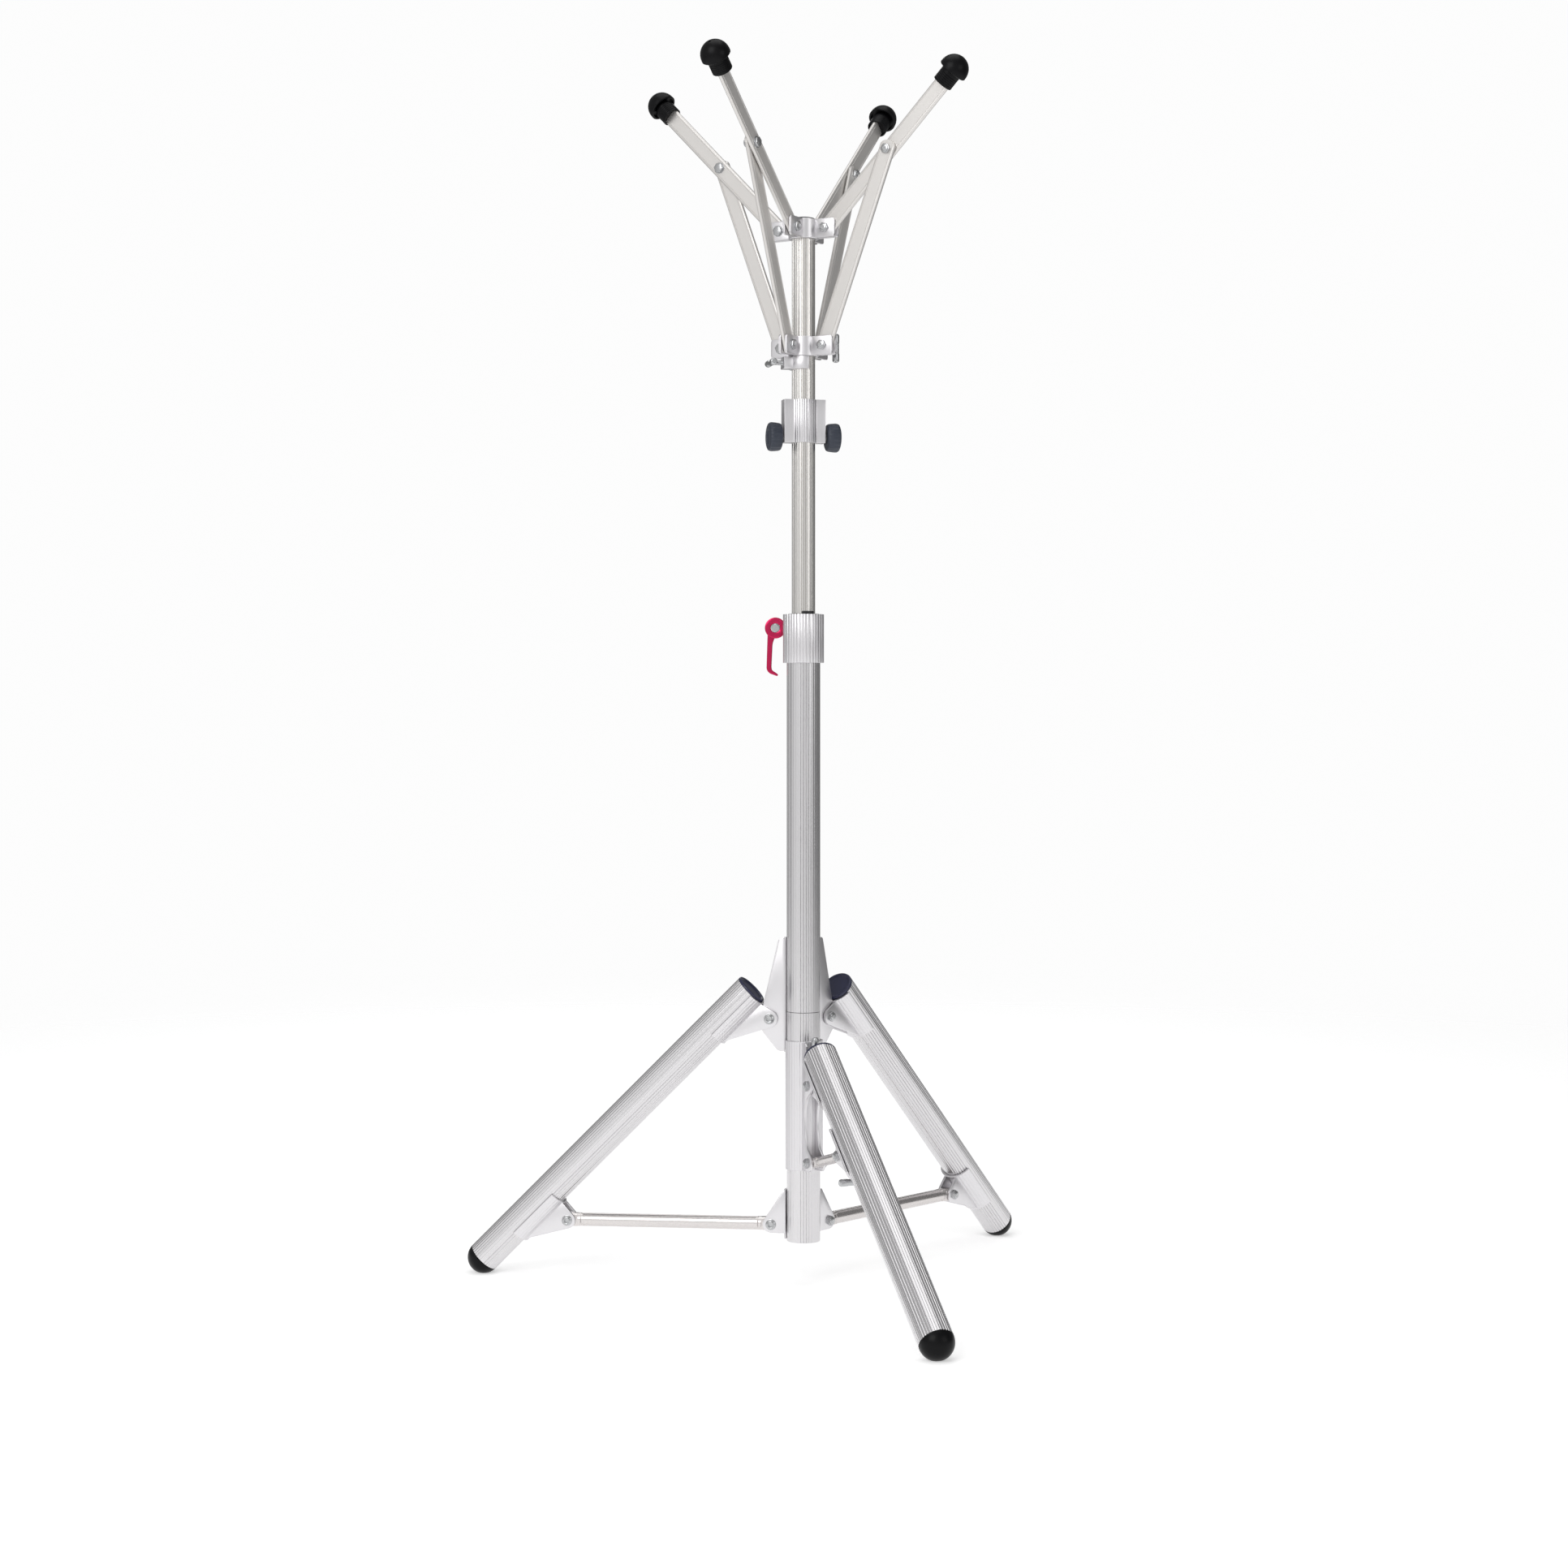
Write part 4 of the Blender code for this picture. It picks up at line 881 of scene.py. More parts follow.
class FlutedTube(Generator):
    """Drawn tube whose outside has narrow grooves between broad smooth lanes."""

    AROUND = 504

    def __init__(self) -> None:
        """Build the tree: a grid rolled into a closed tube of four walls."""
        sizes = [
            (name, "NodeSocketFloat")
            for name in ("Radius", "Bore", "Length", "Grooves", "Depth", "Lanes", "Turn")
        ]
        super().__init__("fluted_tube", sizes)
        net = self.net
        grid = net.node(
            "GeometryNodeMeshGrid",
            {},
            {"Size X": 1.0, "Size Y": 4.0, "Vertices X": self.AROUND + 1, "Vertices Y": 5},
        )
        where = net.node("GeometryNodeInputPosition", {}, {})
        parts = net.node("ShaderNodeSeparateXYZ", {}, {0: where.outputs[0]})
        angle = (net.out(parts, 0) + 0.5) * (2 * math.pi)
        row = net.out(parts, 1) + 2.0
        inside = (row > 1.5) * (row < 3.5)
        top = (row > 0.5) * (row < 2.5)
        groove = (angle * self.value("Grooves")).cosine().at_least(0.0) ** 3.0
        lane = (angle * self.value("Lanes") + self.value("Turn")).cosine() > 0.35
        outer = self.value("Radius") - self.value("Depth") * groove * (1.0 - lane * 0.65)
        radius = outer * (1.0 - inside) + self.value("Bore") * inside
        place = net.node(
            "ShaderNodeCombineXYZ",
            {},
            {0: radius * angle.cosine(), 1: radius * angle.sine(), 2: top * self.value("Length")},
        )
        rolled = net.node(
            "GeometryNodeSetPosition",
            {},
            {"Geometry": grid.outputs["Mesh"], "Position": place.outputs[0]},
        )
        sewn = net.node(
            "GeometryNodeMergeByDistance", {}, {"Geometry": rolled.outputs[0], "Distance": 1e-6}
        )
        self.close(net.out(sewn))

    def make(
        self,
        shop: Workshop,
        finish: Finish,
        radius: float,
        wall: float,
        length: float,
        turn: float,
    ) -> bpy.types.Mesh:
        """One tube standing on the origin.

        Args:
            shop: holds the materials.
            finish: what the tube is made of.
            radius: outside radius.
            wall: wall thickness.
            length: length along Z.
            turn: phase of its smooth lanes.

        Returns:
            The tube's mesh.
        """
        values = {
            "Radius": radius,
            "Bore": radius - wall,
            "Length": length,
            "Grooves": 36.0,
            "Depth": 0.6 * MM,
            "Lanes": 4.0,
            "Turn": turn,
            "Material": shop.materials[finish],
        }
        return self.run(bpy.data.meshes.new("seed"), values)


class FastenerRow(Generator):
    """Stands one fastener head on each given point, facing that point's aim."""

    def __init__(self) -> None:
        """Build the tree: the head instanced on points and turned to their aim."""
        inputs = [("Head", "NodeSocketObject"), ("Size", "NodeSocketFloat")]
        super().__init__("fastener_row", inputs)
        net = self.net
        head = net.node("GeometryNodeObjectInfo", {}, {"Object": self.value("Head")})
        aim = net.node(
            "GeometryNodeInputNamedAttribute", {"data_type": "FLOAT_VECTOR"}, {"Name": "aim"}
        )
        turn = net.node(
            "FunctionNodeAlignRotationToVector", {"axis": "Z"}, {"Vector": aim.outputs[0]}
        )
        size = net.node(
            "ShaderNodeCombineXYZ",
            {},
            {0: self.value("Size"), 1: self.value("Size"), 2: self.value("Size")},
        )
        stood = net.node(
            "GeometryNodeInstanceOnPoints",
            {},
            {
                "Points": self.value("Geometry"),
                "Instance": head.outputs["Geometry"],
                "Rotation": turn.outputs[0],
                "Scale": size.outputs[0],
            },
        )
        self.close(net.out(stood))


@dataclass
class Fasteners:
    """Heads and nuts of the pivot bolts.

    Attributes:
        radius: across-corners radius of a head.
        height: height of a button head.
        nut_height: height of a nut.
        socket: radius of a button head's hexagon socket.
    """

    radius: float = 6.2 * MM
    height: float = 3.6 * MM
    nut_height: float = 5.0 * MM
    socket: float = 3.1 * MM
    row: FastenerRow = field(default_factory=FastenerRow)
    heads: dict[Bolt, Any] = field(default_factory=dict)

    def __post_init__(self) -> None:
        """Make one pattern of each head, kept out of the render."""
        for kind in Bolt:
            shape = getattr(self, "_" + kind.value)()
            pattern = bpy.data.objects.new("pattern_" + kind.value, shape.to_mesh(kind.value))
            self.heads[kind] = pattern

    def _button_head(self) -> Shape:
        """Domed head with a hexagon socket, on a thin washer."""
        r, h, s = self.radius, self.height, self.socket
        washer = 0.7 * MM
        profile = [(0, -0.4 * MM), (r * 1.04, -0.4 * MM), (r * 1.04, 0.5 * MM), (r * 0.96, washer)]
        for a in (0.3, 0.6, 0.9):
            profile.append((r * math.cos(a), washer + (h - washer) * math.sin(a)))
        profile += [(s * 1.15, h), (s, h - 0.25 * MM), (s, h - 3 * MM), (0, h - 3.1 * MM)]

        def hexed(radius: float, z: float, angle: float) -> float:
            """Six-sided inside the socket, round elsewhere."""
            if radius > s * 1.01 or z < h - 3.05 * MM:
                return radius
            sector = (angle % (math.pi / 3)) - math.pi / 6
            return radius * math.cos(math.pi / 6) / math.cos(sector)

        return Shape().lathe(profile, 36, ripple=hexed)

    def _lock_nut(self) -> Shape:
        """Hexagon nut with a round collar and the bolt's end."""
        r, h = self.radius, self.nut_height
        shape = Shape().prism(disc((0, 0), r, 6), -0.3 * MM, h * 0.72, edge=0.45 * MM)
        collar = [(0, 0), (r * 0.74, h * 0.6), (r * 0.74, h * 0.92), (r * 0.62, h), (0, h)]
        shape.lathe(collar, 24)
        tip = [(0, 0), (2.6 * MM, 0), (2.6 * MM, h + 0.4 * MM), (2.1 * MM, h + 0.9 * MM)]
        shape.lathe([*tip, (0, h + 0.9 * MM)], 16)
        return shape

    def _hex_head(self) -> Shape:
        """Plain hexagon head on a washer."""
        r, h = self.radius, self.height
        washer = [(0, -0.3 * MM), (r * 1.08, -0.3 * MM), (r * 1.08, 0.6 * MM), (0, 0.6 * MM)]
        return Shape().lathe(washer, 32).prism(disc((0, 0), r, 6), 0.3 * MM, h, edge=0.4 * MM)

    def place(
        self,
        shop: Workshop,
        name: str,
        kind: Bolt,
        spots: Sequence[tuple[Vector, Vector]],
        body: str,
    ) -> None:
        """Put a row of one kind of fastener on a body.

        Args:
            shop: holds the materials.
            name: the piece's name.
            kind: which head.
            spots: (seat, outward direction) of each, in world coordinates.
            body: the body they move with.
        """
        points = bpy.data.meshes.new("spots")
        points.from_pydata([seat for seat, _ in spots], [], [])
        layer = points.attributes.new("aim", "FLOAT_VECTOR", "POINT")
        for item, (_, aim) in zip(layer.data, spots):
            item.vector = aim
        values = {"Head": self.heads[kind], "Size": 1.0, "Material": shop.materials[Finish.ZINC]}
        mesh = self.row.run(points, values)
        mesh.set_sharp_from_angle(angle=CREASE)
        shop.deliver_mesh(name, mesh, Finish.ZINC, body)


def side_spots(matrix: Matrix, low: float | None, high: float | None) -> list[Any]:
    """Seats of a pivot bolt along a frame's Y axis.

    Args:
        matrix: the pivot's frame.
        low: where the nut's seat is along Y, or None.
        high: where the head's seat is along Y, or None.

    Returns:
        (seat, direction) for each end asked for, the head first.
    """
    out = (matrix.to_3x3() @ Vector((0, 1, 0))).normalized()
    spots = []
    if high is not None:
        spots.append((matrix @ Vector((0, high, 0)), out))
    if low is not None:
        spots.append((matrix @ Vector((0, low, 0)), -out))
    return spots


# ------------------------------------------------------------- assemblies


@dataclass
class TeeScrew:
    """Clamping screw with a tommy bar through its barrel.

    Attributes:
        shank: thread radius.
        bar: radius of the bar.
        length: length of the bar.
    """

    shank: float = 3.0 * MM
    bar: float = 4.2 * MM
    length: float = 34 * MM

    def shape(self, matrix: Matrix, start: float, reach: float, turn: float) -> Shape:
        """The screw along a frame's X axis.

        Args:
            matrix: the frame.
            start: where the tip is.
            reach: where the bar's axis crosses.
            turn: turn of the bar about X.

        Returns:
            The shape in world coordinates.
        """
        pitch, depth = 1.0 * MM, 0.35 * MM
        profile: list[Point] = [(0, start), (self.shank - depth, start)]
        z = start + pitch / 2
        while z < reach - self.bar - 1 * MM:
            profile += [(self.shank, z), (self.shank - depth, z + pitch / 2)]
            z += pitch
        profile += [(self.shank, z), (self.shank, reach), (0, reach)]
        shape = Shape().lathe(profile, 24, matrix @ SIDEWAYS)
        half, r = self.length / 2, self.bar
        bar = [(0, -half), (r * 0.62, -half), (r * 0.9, -half + 0.9 * MM), (r, -half + 2.4 * MM)]
        bar += [(r, -half * 0.42), (r * 0.93, -half * 0.36), (r * 0.93, half * 0.36)]
        bar += [(r, half * 0.42), (r, half - 2.4 * MM), (r * 0.9, half - 0.9 * MM)]
        bar += [(r * 0.62, half), (0, half)]
        cross = Matrix.Translation((reach, 0, 0)) @ Matrix.Rotation(turn, 4, "X")
        shape.lathe(bar, 32, matrix @ cross)
        return shape


@dataclass
class Column:
    """The fixed tubes, the mast and the head tube with their plugs.

    Attributes:
        radius: main tube's outside radius.
        wall: its wall.
        mast_radius: mast's outside radius.
        mast_wall: its wall.
        joint: height of the seam in the main tube.
        main_top: height of the main tube's top.
        mast_low: height of the mast's lower end.
        seam: height where mast and head tube meet inside their coupling.
        head_top: height of the head tube's top.
        gap: clearance between pieces that fit into each other.
        flange_height: height of the bushing's flange.
        lip_height: height of the lip on it.
        lip_span: azimuths between which the lip stands.
    """

    tubes: FlutedTube
    radius: float = 20 * MM
    wall: float = 2.5 * MM
    mast_radius: float = 14 * MM
    mast_wall: float = 2 * MM
    joint: float = 273.7 * MM
    main_top: float = 745.3 * MM
    mast_low: float = 490.7 * MM
    seam: float = 979.25 * MM
    head_top: float = 1220.1 * MM
    gap: float = 0.3 * MM
    flange_height: float = 3.8 * MM
    lip_height: float = 6.8 * MM
    lip_span: tuple[float, float] = (math.radians(243), math.radians(293))

    def build(self, shop: Workshop) -> None:
        """Make the column's pieces.

        Args:
            shop: takes the pieces.
        """
        low = self.joint + 2 * self.gap
        spans = (
            ("base_tube", Finish.FLUTED, "base", self.radius, self.wall, 0.0, self.joint),
            ("main_tube", Finish.FLUTED, "base", self.radius, self.wall, low, self.main_top),
            ("mast_tube", Finish.MAST, "mast", self.mast_radius, self.mast_wall, self.mast_low,
             self.seam - self.gap),
            ("head_tube", Finish.MAST, "head", self.mast_radius, self.mast_wall,
             self.seam + self.gap, self.head_top),
        )
        for node, finish, body, radius, wall, start, end in spans:
            turn = math.radians(214)
            tube = self.tubes.make(shop, finish, radius, wall, end - start, turn)
            shape = Shape().take(tube, Matrix.Translation((0, 0, start)))
            shop.deliver(node + "_drawn", shape, finish, body, node)
        shop.deliver("base_plug_moulded", self.plug(), Finish.PLASTIC, "base", "base_plug")
        shop.deliver("bushing_moulded", self.bushing(), Finish.PLASTIC, "base", "clamp_bushing")
        shop.deliver("head_plug_moulded", self.head_plug(), Finish.PLASTIC, "head", "head_cap")

    def plug(self) -> Shape:
        """Dished plug in the column's lower end."""
        r = self.radius - self.wall - self.gap
        rim = [(0, 1.6 * MM), (r - 3 * MM, 1.2 * MM), (r - 2 * MM, 0.2 * MM), (r - 0.8 * MM, 0)]
        rim += [(r, 0.8 * MM), (r, 12 * MM), (0, 12 * MM)]
        return Shape().lathe(rim, 64)

    def bushing(self) -> Shape:
        """Sliding bushing with a low flange and one lip that shows above the clamp."""
        bore = self.mast_radius + self.gap
        inner = self.radius - self.wall - self.gap
        flange = self.radius - 2 * self.gap
        seat = self.main_top + self.gap
        top = seat + self.flange_height
        profile = [(bore, self.main_top - 45 * MM), (inner, self.main_top - 45 * MM)]
        profile += [(inner, seat), (flange, seat), (flange, top - 1.6 * MM)]
        profile += [(flange - 0.5 * MM, top - 0.5 * MM), (flange - 1.6 * MM, top)]
        profile += [(bore + 1.2 * MM, top), (bore, top - 0.8 * MM)]
        start, end = self.lip_span
        lip = arc(flange - 1 * MM, start, end, 16) + arc(bore + 1 * MM, end, start, 16)
        shape = Shape().lathe(profile, 64)
        return shape.prism(lip, top - 2 * MM, seat + self.lip_height, Matrix(), 1 * MM)

    def head_plug(self) -> Shape:
        """Low dome that closes the head tube."""
        stem = self.mast_radius - self.mast_wall - self.gap
        seat = self.head_top + self.gap
        profile = [(0, self.head_top - 12 * MM), (stem, self.head_top - 12 * MM), (stem, seat)]
        profile += [(self.mast_radius, seat), (self.mast_radius, seat + 0.9 * MM)]
        for degrees in (20, 40, 60, 75):
            a = math.radians(degrees)
            rise = seat + 0.9 * MM + 2.1 * MM * math.sin(a)
            profile.append((self.mast_radius * math.cos(a), rise))
        return Shape().lathe([*profile, (0, seat + 3 * MM)], 48)


@dataclass
class HeightClamp:
    """Split collar on the main tube, its cam lever and skewer.

    Attributes:
        azimuth: where its jaws point.
        bore: collar's bore radius.
        wall: collar's wall.
        top: height of its top.
        height: collar's height.
        cam: cam's outer radius.
        half: half of the cam's width.
    """

    azimuth: float = math.radians(70)
    bore: float = 20.3 * MM
    wall: float = 4.2 * MM
    top: float = 748.7 * MM
    height: float = 58 * MM
    jaw_depth: float = 17 * MM
    jaw_height: float = 24 * MM
    jaw_drop: float = 15.5 * MM
    near: float = 20 * MM
    far: float = -16 * MM
    slit: float = 3 * MM
    cam: float = 12.7 * MM
    pin: float = 5.2 * MM
    half: float = 6 * MM
    hook: float = 13 * MM
    reach: float = 52 * MM

    def build(self, shop: Workshop) -> None:
        """Make the clamp's pieces.

        Args:
            shop: takes the pieces.
        """
        place = frame_at(self.azimuth, 0, 0)
        outer = self.bore + self.wall
        level = self.top - self.jaw_drop
        opening = math.asin(self.slit / 2 / outer)
        ring = fluted_arc(outer, opening, 2 * math.pi - opening, 0.7 * MM)
        ring += arc(self.bore, 2 * math.pi - opening, opening, 72)
        collar = Shape().prism(ring, self.top - self.height, self.top, place, 0.25 * MM)
        end = outer + self.jaw_depth - self.wall
        low, high = level - self.jaw_height / 2, level + self.jaw_height / 2
        for inner_y, outer_y in ((self.slit / 2, self.near), (-self.slit / 2, self.far)):
            start = 22.4 * MM
            root = math.sqrt(max(start**2 - inner_y**2, 0))
            tip = math.sqrt(max(start**2 - outer_y**2, 0))
            jaw = [(root, inner_y), (end, inner_y), (end, outer_y), (tip, outer_y)]
            collar.prism(jaw, low, high, place, 1.6 * MM, segments=3)
        shop.deliver("height_collar", collar, Finish.SATIN, "base", "clamp_collar")

        x = outer + (self.jaw_depth - self.wall) * 0.55
        y = self.near + self.cam + 1 * MM
        across = Matrix.Translation((x, 0, level)) @ Matrix.Rotation(math.radians(-90), 4, "X")
        rod = [(0, self.far - 8 * MM), (2.5 * MM, self.far - 8 * MM), (2.5 * MM, y), (0, y)]
        skewer = Shape().lathe(rod, 24, place @ across)
        nut_low, nut_high = self.far - 6.3 * MM, self.far - 0.3 * MM
        knurl = [(0, nut_low), (5 * MM, nut_low), (6.5 * MM, nut_low + 1.2 * MM)]
        knurl += [(6.5 * MM, nut_high - 0.8 * MM), (5.8 * MM, nut_high), (0, nut_high)]

        def knurled(radius: float, _z: float, angle: float) -> float:
            """Fine teeth on the nut's rim."""
            return radius - (0.3 * MM * (1 + math.cos(20 * angle)) if radius > 6 * MM else 0)

        skewer.lathe(knurl, 80, place @ across, knurled)
        pivot = place @ Matrix.Translation((x, y, level))
        wide = self.half + 1 * MM
        barrel = [(0, -wide), (self.pin * 0.8, -wide), (self.pin, -wide + 0.8 * MM)]
        barrel += [(self.pin, wide - 0.8 * MM), (self.pin * 0.8, wide), (0, wide)]
        skewer.lathe(barrel, 32, pivot @ SIDEWAYS)
        shop.deliver("skewer_and_pin", skewer, Finish.ZINC, "base", "clamp_skewer")
        shop.deliver("cam_lever", self.lever(pivot), Finish.RED, "lever", "clamp_lever")

    def lever(self, pivot: Matrix) -> Shape:
        """Cam cheeks, the web between them and the hooked handle.

        Args:
            pivot: the lever's frame; its axis is X.

        Returns:
            The shape in world coordinates.
        """
        facing = pivot @ Matrix.Rotation(math.radians(90), 4, "Z") @ UPRIGHT
        shape = Shape()
        bore = self.pin + 0.3 * MM
        turns = [2 * math.pi * i / 48 for i in range(48)]
        for low, high in ((-self.half, -self.half + 3 * MM), (self.half - 3 * MM, self.half)):
            shape.sleeve(lambda _: self.cam, bore, low, high, turns, facing, 0.7 * MM)
        start, end = math.radians(222), math.radians(336)
        web = arc(self.cam - 0.4 * MM, start, end, 16) + arc(bore + 0.2 * MM, end, start, 16)
        shape.prism(web, -self.half + 2 * MM, self.half - 2 * MM, facing)
        grip = [
            (9.2 * MM, -4 * MM),
            (9.6 * MM, -self.cam),
            (10.7 * MM, -self.reach + 3 * MM),
            (9.7 * MM, -self.reach),
            (6.7 * MM, -self.reach - 3 * MM),
            (10.7 * MM - self.hook, -self.reach - 6.2 * MM),
            (9.5 * MM - self.hook, -self.reach - 4.4 * MM),
            (11.7 * MM - self.hook, -self.reach - 2.4 * MM),
            (4.1 * MM, -self.reach + 1 * MM),
            (4.7 * MM, -self.reach + 5 * MM),
            (3.4 * MM, -self.cam - 6 * MM),
            (0.9 * MM, -self.cam + 0.8 * MM),
            (-3 * MM, -9 * MM),
            (5 * MM, -6 * MM),
        ]
        grip = rounded(grip, 4 * MM, 4)
        wide = self.half - 0.2 * MM
        shape.prism(grip, -wide, wide, facing, 1.3 * MM, segments=3)
        return shape


@dataclass
class Coupling:
    """Double clamp that joins the mast to the head tube, and its two knobs.

    Attributes:
        low: height of its lower face.
        height: its height.
        azimuth: direction of its wings.
    """

    low: float = 953.4 * MM
    height: float = 51.7 * MM
    azimuth: float = math.radians(-7)
    bore: float = 14.3 * MM
    wall: float = 1.8 * MM
    half_length: float = 25.3 * MM
    half_width: float = 8.6 * MM
    drop: float = 7 * MM
    standoff: float = 2.6 * MM
    knob_radius: float = 17.4 * MM
    knob_depth: float = 15.5 * MM

    def outline(self, angle: float) -> float:
        """Outer radius of the body at an angle."""
        ray = min(
            self.half_length / max(abs(math.cos(angle)), 1e-6),
            self.half_width / max(abs(math.sin(angle)), 1e-6),
        )
        flute = 0.5 * MM * max(0.0, math.cos(30 * angle)) ** 3
        return max(self.bore + self.wall - flute, ray)

    def build(self, shop: Workshop) -> None:
        """Make the body, the screws and the knobs.

        Args:
            shop: takes the pieces.
        """
        place = frame_at(self.azimuth, 0, 0)
        corner = math.atan2(self.half_width, self.half_length)
        angles = {2 * math.pi * i / 240 for i in range(240)}
        angles |= {corner, math.pi - corner, math.pi + corner, 2 * math.pi - corner}
        high = self.low + self.height
        body = Shape().sleeve(
            self.outline, self.bore, self.low, high, sorted(angles), place, 0.5 * MM
        )
        shop.deliver("coupling_body", body, Finish.SATIN, "mast", "mast_coupling")
        for side, turn in (("right", 0.0), ("left", math.pi)):
            node, label = "knob_" + side, side + "_knob"
            axis = frame_at(self.azimuth + turn, 0, self.low + self.drop, math.radians(90))
            shop.deliver(label + "_moulded", self.knob(axis), Finish.SLATE, label, node)
            shop.deliver(label + "_stud", self.stud(axis), Finish.ZINC, label)

    def knob(self, axis: Matrix) -> Shape:
        """Grip that widens away from the coupling, with finger ribs on its rim."""
        face = self.half_length + self.standoff
        r, t = self.knob_radius, self.knob_depth
        profile = [
            (0, face + 0.6 * MM),
            (6 * MM, face + 0.6 * MM),
            (6.4 * MM, face),
            (r * 0.80, face),
            (r * 0.90, face + 0.8 * MM),
            (r * 0.955, face + 2.6 * MM),
            (r * 0.985, face + t * 0.45),
            (r, face + t * 0.72),
            (r * 0.985, face + t - 2.2 * MM),
            (r * 0.93, face + t - 0.7 * MM),
            (r * 0.84, face + t),
            (r * 0.52, face + t),
            (r * 0.48, face + t - 1 * MM),
            (r * 0.30, face + t - 1.2 * MM),
            (0, face + t - 0.8 * MM),
        ]

        def ribbed(radius: float, _z: float, angle: float) -> float:
            """Shallow ribs that fade towards the faces."""
            near = max(0.0, (radius / r - 0.88) / 0.12)
            return radius - 0.55 * MM * near * (0.5 - 0.5 * math.cos(18 * angle)) ** 2

        return Shape().lathe(profile, 144, axis, ribbed)

    def stud(self, axis: Matrix) -> Shape:
        """Threaded stud between the knob and the coupling, with its washer."""
        face = self.half_length + self.standoff
        start = self.bore + 0.3 * MM
        profile: list[Point] = [(0, start), (2.5 * MM, start)]
        z = start + 0.5 * MM
        while z < face - 0.2 * MM:
            profile += [(2.9 * MM, z), (2.55 * MM, z + 0.5 * MM)]
            z += 1.0 * MM
        profile += [(2.55 * MM, face + 2 * MM), (0, face + 2 * MM)]
        washer = [(2.2 * MM, self.half_length + 0.4 * MM), (5.4 * MM, self.half_length + 0.4 * MM)]
        washer += [(5.4 * MM, self.half_length + 1.4 * MM), (2.2 * MM, self.half_length + 1.4 * MM)]
        return Shape().lathe(profile, 24, axis).lathe(washer, 32, axis)


